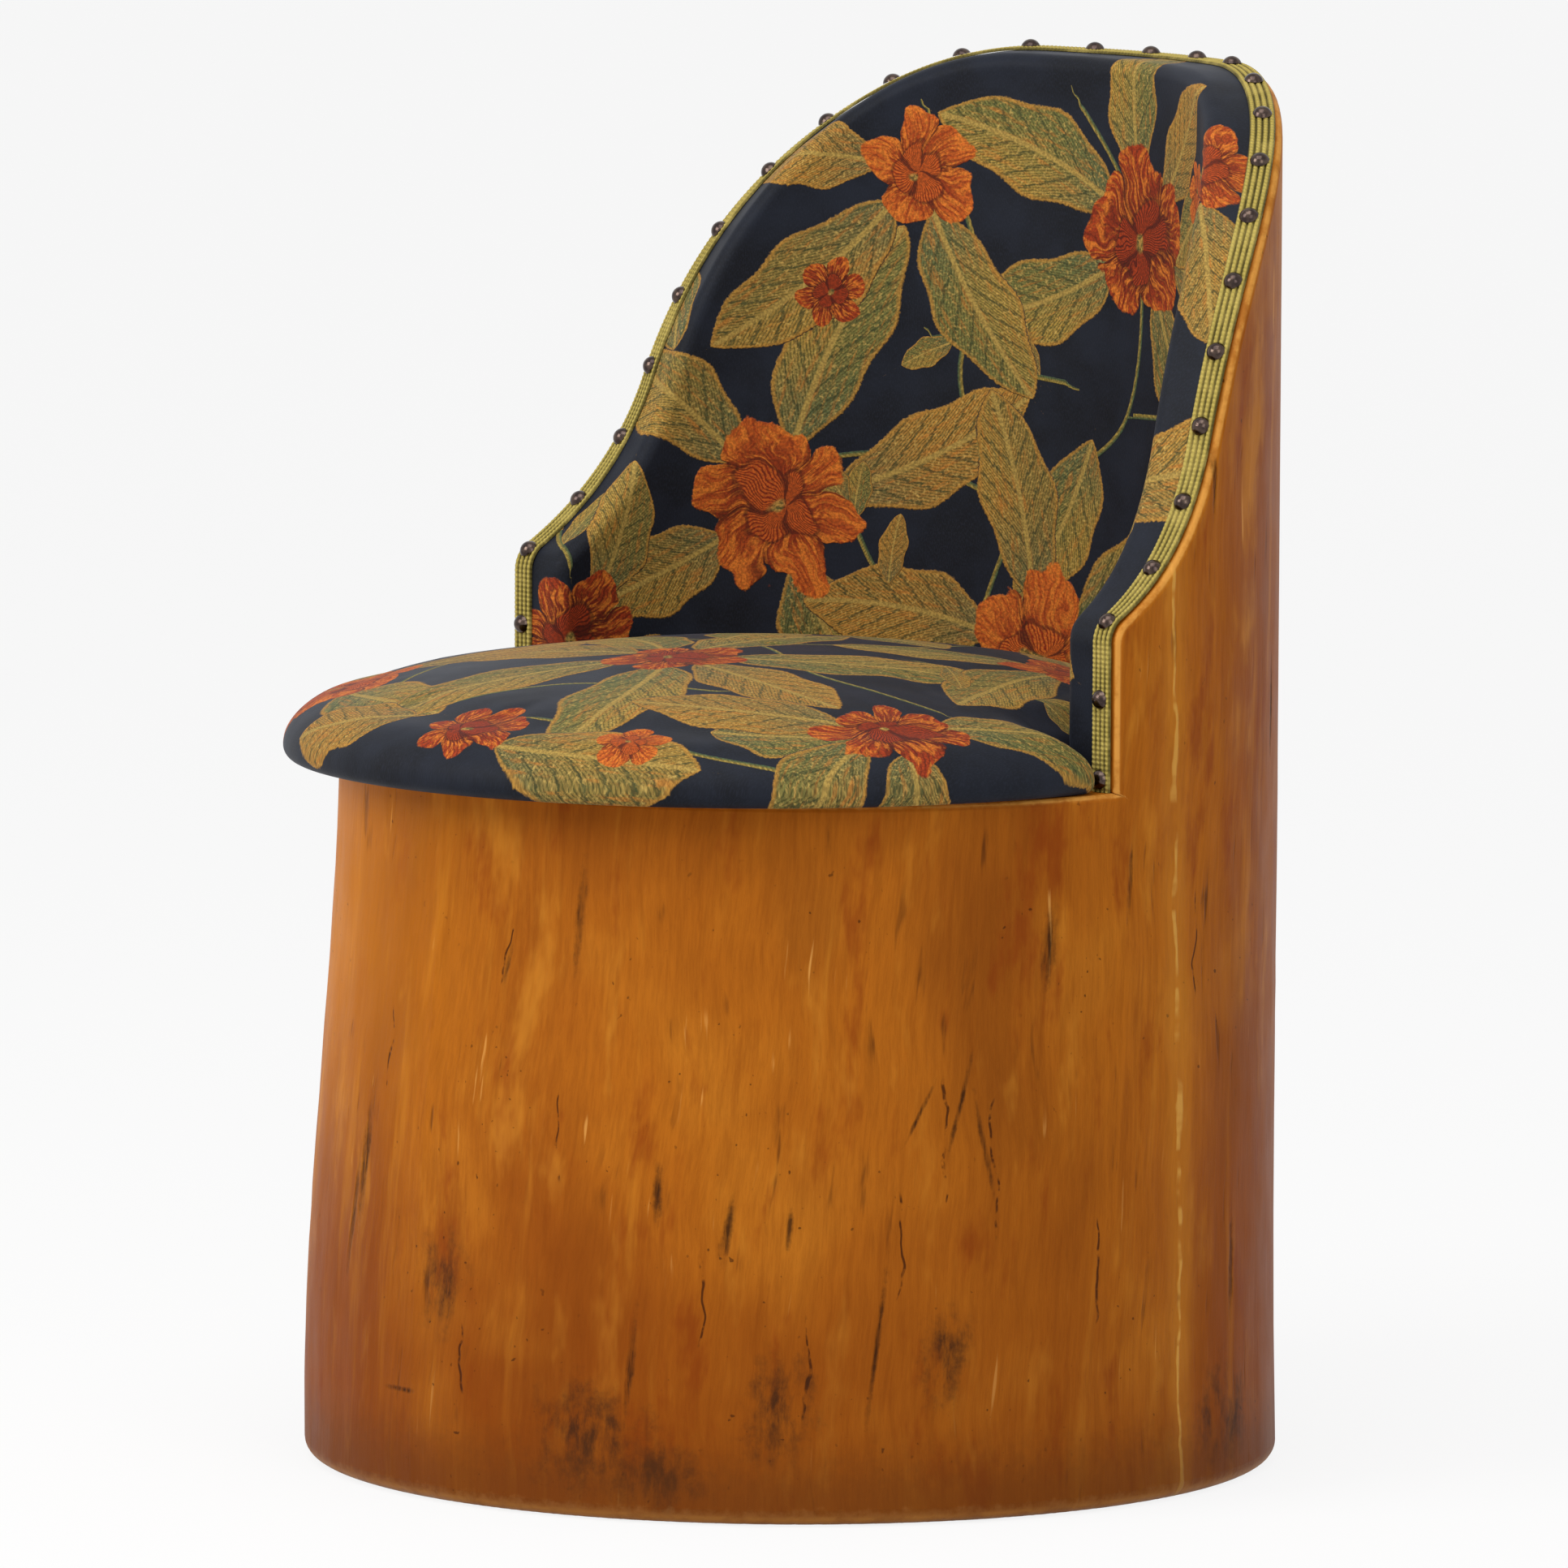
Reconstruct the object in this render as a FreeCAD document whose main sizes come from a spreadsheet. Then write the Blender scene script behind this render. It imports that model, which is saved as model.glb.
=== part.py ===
# Stump chair: a hollowed log whose rear is carved up into a shell back,
# with a lined back, a braid held by domed nails and a padded seat that lifts off.
# Frame: front is -Y, up is +Z, millimetres. Sizes are taken about the log's axis and
# every piece is then shifted so that the origin is the bottom centre of the whole box.
import FreeCAD
import Part
import Sketcher
import math
import os

V = FreeCAD.Vector
doc = FreeCAD.newDocument("stump_chair")

# Driving dimensions: alias, value in mm (or a count), note
SIZES = [
    ("top_height", 756, "floor to the top of the bare wooden back"),
    ("ledge_height", 386, "floor to the sawn ledge that carries the seat"),
    ("log_radius", 257, "outside of the log at the ledge and above"),
    ("waist_radius", 262.5, "outside of the log half way up the drum"),
    ("waist_height", 190, "floor to the half-way section"),
    ("waist_shift", 8, "forward lean of the half-way section"),
    ("neck_radius", 257.8, "outside of the log just under the ledge"),
    ("neck_shift", 1, "the log's centre just under the ledge, in front of its axis"),
    ("neck_height", 340, "floor to where the drum has run in to the shell's width"),
    ("foot_radius", 267, "outside of the log at the floor"),
    ("foot_shift", 11, "forward lean of the floor section"),
    ("foot_round", 9, "worn rounding of the bottom edge"),
    ("rim_round", 4, "worn rounding of the back's outer edge"),
    ("hollow_radius", 186, "hollow of the drum"),
    ("shell_wall", 28, "wall of the carved back"),
    ("shoulder_rise", 80, "ledge to where the back's edge starts to round"),
    ("shoulder_round", 14, "rounding of the shoulder"),
    ("sweep_radius", 175, "hollow sweep of the edge above the shoulder"),
    ("sweep_back", 85, "end of the sweep, round the log from the front edge"),
    ("sweep_rise", 106, "end of the sweep above the shoulder"),
    ("bow_back", 220, "end of the bowed run, round the log from the front edge"),
    ("bow_drop", 26, "end of the bowed run, below the top"),
    ("back_pad", 14, "padding on the back"),
    ("fabric", 1.2, "covering fabric"),
    ("roll_round", 7.5, "soft rounding where the lining rolls over the edge"),
    ("braid_width", 14, "trimming braid"),
    ("braid_thick", 2.4, "trimming braid"),
    ("braid_inset", 4, "bare wood outside the braid"),
    ("nail_head", 10.6, "domed nail, head diameter"),
    ("nail_dome", 3.6, "domed nail, head height"),
    ("nail_shank", 1.8, "domed nail, shank diameter"),
    ("nail_length", 15, "domed nail, shank length"),
    ("nail_pitch", 43, "spacing of the nails along the edge"),
    ("nail_start", 7, "first nail above the ledge"),
    ("seat_radius", 256, "front curve of the seat"),
    ("seat_forward", 41, "front curve's centre in front of the log's axis"),
    ("seat_room", 2.2, "room between seat and lining"),
    ("nail_room", 2.6, "room between seat and nail heads"),
    ("horn_round", 7, "outer corner of the seat at each wing"),
    ("nook_round", 9, "inner corner of the seat at each wing"),
    ("board_thick", 12, "seat board"),
    ("board_inset", 7, "padding drawn over the board's edge"),
    ("seat_wall", 7, "upright part of the covered seat's rim"),
    ("seat_crown", 58, "height of the covered seat in the middle"),
    ("seat_roll", 26, "rounding from the crown into the rim"),
    ("seat_lap", 0.3, "how far the rounding passes outside the upright part"),
    ("turn_under", 26, "fabric turned under the board"),
    ("batten_width", 28, "cleat under the board"),
    ("batten_depth", 20, "cleat under the board"),
    ("batten_offset", 118, "cleat's middle from the chair's middle"),
    ("batten_room", 3, "room between cleat and hollow"),
    ("screw_head", 8, "countersunk screw, head diameter"),
    ("screw_shank", 4, "countersunk screw, shank diameter"),
    ("screw_length", 28, "countersunk screw"),
    ("screw_inset", 40, "screw from the cleat's end"),
    ("tack_head", 8, "tack, head diameter"),
    ("tack_thick", 0.9, "tack, head thickness"),
    ("tack_shank", 1.6, "tack, shank diameter"),
    ("tack_length", 9, "tack, shank length"),
    ("tack_inset", 15, "tacks from the seat's outline"),
    ("tack_count", 24, "tacks round the seat"),
    ("over", 40, "how far cutters pass what they cut"),
]

dims = doc.addObject("Spreadsheet::Sheet", "dims")
for row, (alias, value, note) in enumerate(SIZES, start=1):
    dims.set("A%d" % row, alias)
    dims.set("B%d" % row, str(value))
    dims.setAlias("B%d" % row, alias)
    dims.set("C%d" % row, note)
doc.recompute()


def size(alias):
    """A driving dimension as a plain number."""
    return float(getattr(dims, alias))


def bind(obj, prop, formula):
    """Tie a property to the sheet; names in the formula are the sheet's aliases."""
    words = []
    for word in formula.split():
        words.append("dims." + word if word in ALIASES else word)
    obj.setExpression(prop, " ".join(words))


ALIASES = {alias for alias, value, note in SIZES}
CENTRE_SHIFT = "( seat_forward + seat_radius - log_radius ) / 2"
SHELL_INSIDE = "( log_radius - shell_wall )"
LINING_INSIDE = "( log_radius - shell_wall - back_pad - fabric )"
SEAT_REAR = "( log_radius - shell_wall - back_pad - fabric - seat_room )"
SEAT_NOTCH = "( 0 - fabric - braid_thick - nail_dome - nail_room )"
BRAID_MIDDLE = size("log_radius") - size("braid_inset") - size("braid_width") / 2


def node(obj, label):
    """Name a finished piece and shift it from the log's axis to the box's centre."""
    obj.Label = label
    bind(obj, "Placement.Base.y", CENTRE_SHIFT)
    NODES.append(obj)
    return obj


def derived(obj, label):
    """Name a finished piece that is cut from pieces already in place."""
    obj.Label = label
    NODES.append(obj)
    return obj


NODES = []


def plane_of(body, role):
    """One of a body's own origin planes."""
    for feature in body.Origin.OriginFeatures:
        if feature.Role == role:
            return feature


def sketch_on(body, name, role, height=None):
    """A sketch on one of the body's origin planes, lifted by a formula where given."""
    sketch = body.newObject("Sketcher::SketchObject", name)
    sketch.AttachmentSupport = [(plane_of(body, role), "")]
    sketch.MapMode = "FlatFace"
    if height:
        bind(sketch, "AttachmentOffset.Base.z", height)
    return sketch


def fix(sketch, kind, where, formula):
    """A dimension of a sketch, tied to the sheet."""
    index = sketch.addConstraint(Sketcher.Constraint(kind, *where))
    bind(sketch, "Constraints[%d]" % index, formula)


def fix_point(sketch, geo, pos, x_formula, y_formula):
    """Tie a sketch point's two coordinates to the sheet."""
    point = sketch.getPoint(geo, pos)
    fix(sketch, "DistanceX", (-1, 1, geo, pos, point.x), x_formula)
    fix(sketch, "DistanceY", (-1, 1, geo, pos, point.y), y_formula)


def circle_sketch(body, name, radius, forward="0", height=None):
    """A circle about the log's axis, or moved forward from it; it starts and ends at the front."""
    sketch = sketch_on(body, name, "XY_Plane", height)
    sketch.AttachmentOffset = FreeCAD.Placement(V(0, 0, 0), FreeCAD.Rotation(V(0, 0, 1), -90))
    sketch.addGeometry(Part.Circle(V(1, 0, 0), V(0, 0, 1), 100), False)
    fix(sketch, "Radius", (0, 100), radius)
    fix_point(sketch, 0, 3, forward, "0")
    return sketch


def arc_between(centre, start, end):
    """The counter-clockwise arc from start to end, as a sketch curve."""
    radius = (start - centre).Length
    first = math.atan2(start.y - centre.y, start.x - centre.x)
    last = math.atan2(end.y - centre.y, end.x - centre.x)
    if last < first:
        last += 2 * math.pi
    return Part.ArcOfCircle(Part.Circle(centre, V(0, 0, 1), radius), first, last)


def chain(sketch, curves, joins, construction=False):
    """Add curves that run into each other with no corner; returns the first one's index."""
    first = len(sketch.Geometry)
    for curve in curves:
        sketch.addGeometry(curve, construction)
    for one, one_end, two, two_end in joins:
        meet = Sketcher.Constraint("Tangent", first + one, one_end, first + two, two_end)
        sketch.addConstraint(meet)
    return first


EDGE_JOINS = ((0, 2, 1, 2), (1, 1, 2, 1), (2, 2, 3, 2), (3, 1, 4, 2), (4, 1, 5, 1))


def edge_curves():
    """The back's edge rolled out flat: upright, shoulder, hollow sweep, bow, crest and level top.

    x runs round the log's outside from the front edge to the middle of the rear, y is the height.
    """
    ledge = size("ledge_height")
    top = size("top_height")
    upright = V(0, ledge + size("shoulder_rise"), 0)
    shoulder = size("shoulder_round")
    sweep = size("sweep_radius")
    shoulder_centre = upright + V(shoulder, 0, 0)
    sweep_end = V(size("sweep_back"), upright.y + size("sweep_rise"), 0)
    bow_end = V(size("bow_back"), top - size("bow_drop"), 0)
    # The sweep's centre lies its radius from the sweep's end and touches the shoulder's circle
    across = sweep_end - shoulder_centre
    reach = sweep + shoulder
    along = (across.Length ** 2 + reach ** 2 - sweep ** 2) / (2 * across.Length)
    aside = math.sqrt(reach ** 2 - along ** 2)
    unit = across / across.Length
    sweep_centre = shoulder_centre + unit * along + V(-unit.y, unit.x, 0) * aside
    shoulder_end = shoulder_centre + (sweep_centre - shoulder_centre) * (shoulder / reach)
    # The bow carries on from the sweep with no corner, and its crest ends level with the top
    sweep_way = (sweep_end - sweep_centre) / sweep
    chord = bow_end - sweep_end
    bow = chord.Length ** 2 / (2 * chord.dot(sweep_way))
    bow_centre = sweep_end + sweep_way * bow
    bow_way = (bow_end - bow_centre) / bow
    crest = (top - bow_end.y) / (1 - bow_way.y)
    crest_centre = bow_end - bow_way * crest
    crest_end = crest_centre + V(0, crest, 0)
    rear = V(size("log_radius") * math.pi / 2, top, 0)
    return [
        Part.LineSegment(V(0, ledge, 0), upright),
        arc_between(shoulder_centre, shoulder_end, upright),
        arc_between(sweep_centre, shoulder_end, sweep_end),
        arc_between(bow_centre, bow_end, sweep_end),
        arc_between(crest_centre, crest_end, bow_end),
        Part.LineSegment(crest_end, rear),
    ]


# The edge line, drawn flat; everything along the back's edge follows this sketch
edge_line = doc.addObject("Sketcher::SketchObject", "edge_line")
chain(edge_line, edge_curves(), EDGE_JOINS)
edge_line.addConstraint(Sketcher.Constraint("Vertical", 0))
edge_line.addConstraint(Sketcher.Constraint("Horizontal", 5))
fix_point(edge_line, 0, 1, "0", "ledge_height")
fix(edge_line, "DistanceY", (0, 1, 0, 2, size("shoulder_rise")), "shoulder_rise")
fix(edge_line, "Radius", (1, size("shoulder_round")), "shoulder_round")
fix(edge_line, "Radius", (2, size("sweep_radius")), "sweep_radius")
fix_point(edge_line, 2, 2, "sweep_back", "ledge_height + shoulder_rise + sweep_rise")
fix_point(edge_line, 3, 1, "bow_back", "top_height - bow_drop")
fix_point(edge_line, 5, 2, "log_radius * pi / 2", "top_height")
doc.recompute()


def edge_points(out, steps, first=0):
    """Points and directions along the flat edge line, drawn a distance outside the wood."""
    found = []
    for index, curve in enumerate(edge_line.Geometry):
        if index < first:
            continue
        if index == 0:
            curve.translate(V(-out, 0, 0))
        elif index == 5:
            curve.translate(V(0, out, 0))
        else:
            curve.Radius = curve.Radius + (-out if index == 2 else out)
        span = curve.LastParameter - curve.FirstParameter
        marks = [curve.FirstParameter + span * step / steps for step in range(steps + 1)]
        row = [(curve.value(mark), V(*curve.tangent(mark)[0])) for mark in marks]
        if index in (1, 3, 4):
            row = [(point, way * -1) for point, way in reversed(row)]
        found.extend(row if not found else row[1:])
    return found


def round_log(point, radius):
    """Wrap a point of the flat edge line round the log, at a distance from its axis."""
    if point.x < 0:
        return V(radius, point.x, point.y)
    turn = point.x / size("log_radius")
    return V(radius * math.cos(turn), radius * math.sin(turn), point.y)


# How far the cutting faces reach, from inside the lining to well outside the log
CUT_INSIDE = "hollow_radius"
CUT_OUTSIDE = "( log_radius + 3 * over )"


def raised(name, face):
    """A face carried up and forward into the space the back leaves free."""
    result = doc.addObject("Part::Extrusion", name)
    result.Base = face
    result.DirMode = "Custom"
    result.Dir = V(0, -1, 1)
    result.Solid = True
    bind(result, "LengthFwd", "2 * ( top_height - ledge_height )")
    return result


def flat_face(name, length, width, corner, standing):
    """A rectangle from a corner, lying level or standing square to the front."""
    face = doc.addObject("Part::Plane", name)
    bind(face, "Length", length)
    bind(face, "Width", width)
    if standing:
        face.Placement = FreeCAD.Placement(V(0, 0, 0), FreeCAD.Rotation(V(1, 0, 0), 90))
    for axis, formula in zip("xyz", corner):
        bind(face, "Placement.Base." + axis, formula)
    return face


def edge_rail(out, radius, sink=None):
    """The edge line, offset outside the wood, as one curve round the log at a radius.

    With a sink the uprights are part of it, and start that far under the ledge.
    """
    if sink is None:
        flat = [point for point, way in edge_points(out, 4, first=1)]
    else:
        flat = [point for point, way in edge_points(out, 4)]
        flat[0] = flat[0] - V(0, sink, 0)
    runs = [0.0]
    for here, there in zip(flat, flat[1:]):
        runs.append(runs[-1] + (there - here).Length)
    runs += [2 * runs[-1] - run for run in reversed(runs[:-1])]
    near = [round_log(point, radius) for point in flat]
    far = [V(-point.x, point.y, point.z) for point in reversed(near[:-1])]
    rail = Part.BSplineCurve()
    ends = {"InitialTangent": V(0, 0, 1), "FinalTangent": V(0, 0, -1), "Scale": False}
    rail.interpolate(Points=near + far, Parameters=runs, **ends)
    return rail.toShape()


def rolled(name, base, inside, out):
    """A lining with its inner rim rolled off by slanted cuts, each touching the roll's round.

    inside is the lining's inner radius and out its edge's distance outside the wood.
    """
    roll = size("roll_round")
    for number, slant in enumerate((22.5, 45, 67.5), start=1):
        lean = math.radians(slant)
        rails = []
        for depth in (out - 1.3 * roll, out + 0.5 * roll):
            rise = depth - out + roll
            aside = (rise * math.sin(lean) - roll) / math.cos(lean)
            rails.append(edge_rail(depth, inside + roll + aside, sink=roll))
        face = doc.addObject("Part::Feature", "%s_roll_%d" % (name, number))
        face.Shape = Part.makeRuledSurface(*rails)
        space = raised("%s_above_%d" % (name, number), face)
        doc.recompute()
        base = cut(name if number == 3 else "%s_cut_%d" % (name, number), base, space)
    return base


def edge_cutter(name, out, formula):
    """The space above and in front of the back's edge, offset outside the wood.

    The edge's face runs straight in towards the log's axis, square to the wall.
    """
    rails = [
        edge_rail(out, size("hollow_radius")),
        edge_rail(out, size("log_radius") + 3 * size("over")),
    ]
    curved = doc.addObject("Part::Feature", name + "_curved")
    curved.Shape = Part.makeRuledSurface(*rails)
    forward = "0 - ( " + formula + " )"
    reach = CUT_OUTSIDE + " - " + CUT_INSIDE
    right = (CUT_INSIDE, forward, "ledge_height")
    left = ("0 - " + CUT_OUTSIDE, forward, "ledge_height")
    front = ("0 - " + CUT_OUTSIDE, forward + " - " + CUT_OUTSIDE, "ledge_height")
    clear = doc.addObject("Part::Box", name + "_clear")
    bind(clear, "Length", "2 * " + CUT_OUTSIDE)
    bind(clear, "Width", CUT_OUTSIDE)
    bind(clear, "Height", "top_height - ledge_height + 2 * over")
    bind(clear, "Placement.Base.x", "0 - " + CUT_OUTSIDE)
    bind(clear, "Placement.Base.y", forward + " - " + CUT_OUTSIDE + " - braid_inset")
    bind(clear, "Placement.Base.z", "ledge_height")
    cutter = doc.addObject("Part::MultiFuse", name)
    cutter.Shapes = [
        clear,
        raised(name + "_above", curved),
        raised(name + "_right", flat_face(name + "_right_face", reach, "shoulder_rise", right, True)),
        raised(name + "_left", flat_face(name + "_left_face", reach, "shoulder_rise", left, True)),
        raised(name + "_front", flat_face(name + "_front_face", "2 * " + CUT_OUTSIDE, CUT_OUTSIDE, front, False)),
    ]
    doc.recompute()
    return cutter


def cut(name, base, tool):
    """One shape less another."""
    result = doc.addObject("Part::Cut", name)
    result.Base = base
    result.Tool = tool
    doc.recompute()
    return result


def rounded(name, base, test, radius):
    """A shape with the edges that pass a test rounded."""
    result = doc.addObject("Part::Fillet", name)
    result.Base = base
    found = [index for index, edge in enumerate(base.Shape.Edges, start=1) if test(edge)]
    result.Edges = [(index, radius, radius) for index in found]
    doc.recompute()
    return result


def edges_where(shape, test):
    """Names of the edges that pass a test."""
    names = []
    for index, edge in enumerate(shape.Edges, start=1):
        if test(edge):
            names.append("Edge%d" % index)
    return names


# The log: a leaning trunk, bored in two widths, then carved along the edge line
log = doc.addObject("PartDesign::Body", "trunk_bored")
trunk = log.newObject("PartDesign::AdditiveLoft", "trunk")
trunk.Profile = circle_sketch(log, "foot_section", "foot_radius", "foot_shift")
trunk.Sections = [
    circle_sketch(log, "waist_section", "waist_radius", "waist_shift", "waist_height"),
    circle_sketch(log, "neck_section", "neck_radius", "neck_shift", "neck_height"),
    circle_sketch(log, "ledge_section", "log_radius", "0", "ledge_height"),
]
trunk.Ruled = False
doc.recompute()

upper = log.newObject("PartDesign::Pad", "upper_trunk")
upper.Profile = circle_sketch(log, "upper_section", "log_radius", "0", "ledge_height")
bind(upper, "Length", "top_height - ledge_height + over")
doc.recompute()

hollow = log.newObject("PartDesign::Pocket", "hollow")
hollow.Profile = circle_sketch(log, "hollow_outline", "hollow_radius")
hollow.Type = "ThroughAll"
hollow.Reversed = True
doc.recompute()

shell = log.newObject("PartDesign::Pocket", "shell_inside")
shell.Profile = circle_sketch(log, "shell_outline", SHELL_INSIDE, "0", "ledge_height")
shell.Type = "ThroughAll"
shell.Reversed = True
doc.recompute()


def at_foot(edge):
    """The outer edge on the floor."""
    box = edge.BoundBox
    return box.ZMax < 1 and box.XLength > 2 * size("hollow_radius") + 1


worn_foot = log.newObject("PartDesign::Fillet", "worn_foot")
worn_foot.Base = (shell, edges_where(shell.Shape, at_foot))
bind(worn_foot, "Radius", "foot_round")
doc.recompute()


def at_rim(edge):
    """Outer edges of the carved back and of the ledge in front of it."""
    middle = edge.valueAt((edge.FirstParameter + edge.LastParameter) / 2)
    outside = math.hypot(middle.x, middle.y) > size("log_radius") - 1
    above = middle.z - size("ledge_height")
    return outside and (above > 1 or above > -1 and middle.y < 0)


wood_cutter = edge_cutter("wood_cutter", 0, "0")
carved = cut("carved", log, wood_cutter)
log_body = rounded("log_body", carved, at_rim, size("rim_round"))
node(log_body, "log_body")


def tube(name, inside, outside):
    """A tube about the log's axis from the ledge up past the back's top."""
    body = doc.addObject("PartDesign::Body", name)
    sketch = sketch_on(body, name + "_outline", "XY_Plane", "ledge_height")
    for index, radius in enumerate((inside, outside)):
        sketch.addGeometry(Part.Circle(V(0, 0, 0), V(0, 0, 1), 100 + 50 * index), False)
        fix(sketch, "Radius", (index, 100 + 50 * index), radius)
        sketch.addConstraint(Sketcher.Constraint("Coincident", index, 3, -1, 1))
    pad = body.newObject("PartDesign::Pad", name + "_pad")
    pad.Profile = sketch
    bind(pad, "Length", "top_height - ledge_height + over")
    doc.recompute()
    return body


# Padding on the inside of the back
PADDING_INSIDE = "( log_radius - shell_wall - back_pad )"
padding_face = size("log_radius") - size("shell_wall") - size("back_pad")
padding_cut = cut("padding_cut", tube("padding_tube", PADDING_INSIDE, SHELL_INSIDE), wood_cutter)
back_padding = rolled("back_padding", padding_cut, padding_face, 0)
node(back_padding, "back_padding")

# Lining: a block one fabric larger all round, less the form of the wood and padding under it
fabric = size("fabric")
cover_cutter = edge_cutter("cover_cutter", fabric, "fabric")
LINING_OUTSIDE = "( log_radius - braid_inset - fabric )"
lining_cut = cut("lining_cut", tube("lining_tube", LINING_INSIDE, LINING_OUTSIDE), cover_cutter)
lining_block = rolled("lining_block", lining_cut, padding_face - fabric, fabric)
core_cut = cut("core_cut", tube("core_tube", PADDING_INSIDE, "log_radius"), wood_cutter)
lining_core = rolled("lining_core", core_cut, padding_face, 0)
back_cover = cut("back_cover", lining_block, lining_core)
node(back_cover, "back_cover")

# Braid on the lining's turned-over edge, from its underside to its top
braid_top = fabric + size("braid_thick")
braid_cutter = edge_cutter("braid_cutter", braid_top, "fabric + braid_thick")
BRAID_INSIDE = "( log_radius - braid_inset - braid_width )"
band = doc.addObject("Part::Common", "band")
band.Base = tube("braid_tube", BRAID_INSIDE, "( log_radius - braid_inset )")
band.Tool = cover_cutter
doc.recompute()
braid = cut("braid", band, braid_cutter)
node(braid, "braid")


def turned(name, steps):
    """A turned fastener along +Z from its profile: (radius, height) pairs of formulas."""
    body = doc.addObject("PartDesign::Body", name)
    sketch = sketch_on(body, name + "_profile", "XZ_Plane")
    points = [V(value(radius), value(height), 0) for radius, height in steps]
    count = len(points)
    for index in range(count):
        line = Part.LineSegment(points[index], points[(index + 1) % count])
        sketch.addGeometry(line, False)
    for index in range(count):
        following = (index + 1) % count
        sketch.addConstraint(Sketcher.Constraint("Coincident", index, 2, following, 1))
        fix_point(sketch, index, 1, *steps[index])
    turn = body.newObject("PartDesign::Revolution", name + "_turn")
    turn.Profile = sketch
    turn.ReferenceAxis = (sketch, ["V_Axis"])
    turn.Angle = 360
    doc.recompute()
    return body


def value(formula):
    """What a formula of the sheet's aliases comes to."""
    probe = doc.addObject("App::FeaturePython", "probe")
    probe.addProperty("App::PropertyFloat", "result")
    bind(probe, "result", formula)
    doc.recompute()
    result = float(probe.result)
    doc.removeObject(probe.Name)
    return result


def copies(body, places):
    """Copies of one fastener at many placements, as a group of separate solids."""
    solids = []
    for place in places:
        solid = body.Shape.copy()
        solid.Placement = place
        solids.append(solid)
    return Part.makeCompound(solids)


def group(body, label, places):
    """A node that holds identical fasteners."""
    feature = doc.addObject("Part::Feature", label)
    feature.Shape = copies(body, places)
    return node(feature, label)


# Domed nails along the middle of the braid, evenly spaced from each foot of the edge to the top
nail = doc.addObject("PartDesign::Body", "nail")
nail_profile = sketch_on(nail, "nail_profile", "XZ_Plane")
head = size("nail_head") / 2
dome = size("nail_dome")
shank = size("nail_shank") / 2
deep = size("nail_length")
ball = (head ** 2 + dome ** 2) / (2 * dome)
dome_curve = arc_between(V(0, dome - ball, 0), V(head, 0, 0), V(0, dome, 0))
corners = [V(0, dome, 0), V(0, -deep, 0), V(shank, -deep + shank, 0), V(shank, 0, 0), V(head, 0, 0)]
nail_profile.addGeometry(dome_curve, False)
for one, two in zip(corners, corners[1:]):
    nail_profile.addGeometry(Part.LineSegment(one, two), False)
for index in range(4):
    nail_profile.addConstraint(Sketcher.Constraint("Coincident", index, 2, index + 1, 1))
nail_profile.addConstraint(Sketcher.Constraint("Coincident", 4, 2, 0, 1))
nail_profile.addConstraint(Sketcher.Constraint("PointOnObject", 0, 3, -2))
fix_point(nail_profile, 0, 2, "0", "nail_dome")
fix_point(nail_profile, 1, 2, "0", "0 - nail_length")
fix_point(nail_profile, 2, 2, "nail_shank / 2", "nail_shank / 2 - nail_length")
fix_point(nail_profile, 3, 2, "nail_shank / 2", "0")
fix_point(nail_profile, 4, 2, "nail_head / 2", "0")
nail_turn = nail.newObject("PartDesign::Revolution", "nail_turn")
nail_turn.Profile = nail_profile
nail_turn.ReferenceAxis = (nail_profile, ["V_Axis"])
nail_turn.Angle = 360
doc.recompute()


def nail_places():
    """Evenly spaced places on the braid, each turned square to it; mirrored left and right."""
    spots = []
    run = 0.0
    for point, way in edge_points(braid_top, 300):
        spot = round_log(point, BRAID_MIDDLE)
        outward = V(spot.x, max(spot.y, 0), 0).normalize()
        along = V(-outward.y, outward.x, 0) * way.x + V(0, 0, way.y)
        if spots:
            run += (spot - spots[-1][1]).Length
        spots.append((run, spot, outward.cross(along)))
    first = size("nail_start")
    count = round((run - first) / size("nail_pitch"))
    places = []
    for number in range(count + 1):
        target = first + (run - first) * number / count
        run_here, spot, facing = min(spots, key=lambda item: abs(item[0] - target))
        places.append(FreeCAD.Placement(spot, FreeCAD.Rotation(V(0, 0, 1), facing)))
        if number < count:
            twin = FreeCAD.Rotation(V(0, 0, 1), V(-facing.x, facing.y, facing.z))
            places.append(FreeCAD.Placement(V(-spot.x, spot.y, spot.z), twin))
    return places


group(nail, "braid_nails", nail_places())


SEAT_JOINS = ((0, 2, 1, 1), (1, 2, 2, 1), (2, 2, 3, 2), (3, 1, 4, 1),
              (4, 2, 5, 2), (5, 1, 6, 1), (6, 2, 7, 1), (7, 2, 0, 1))


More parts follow.
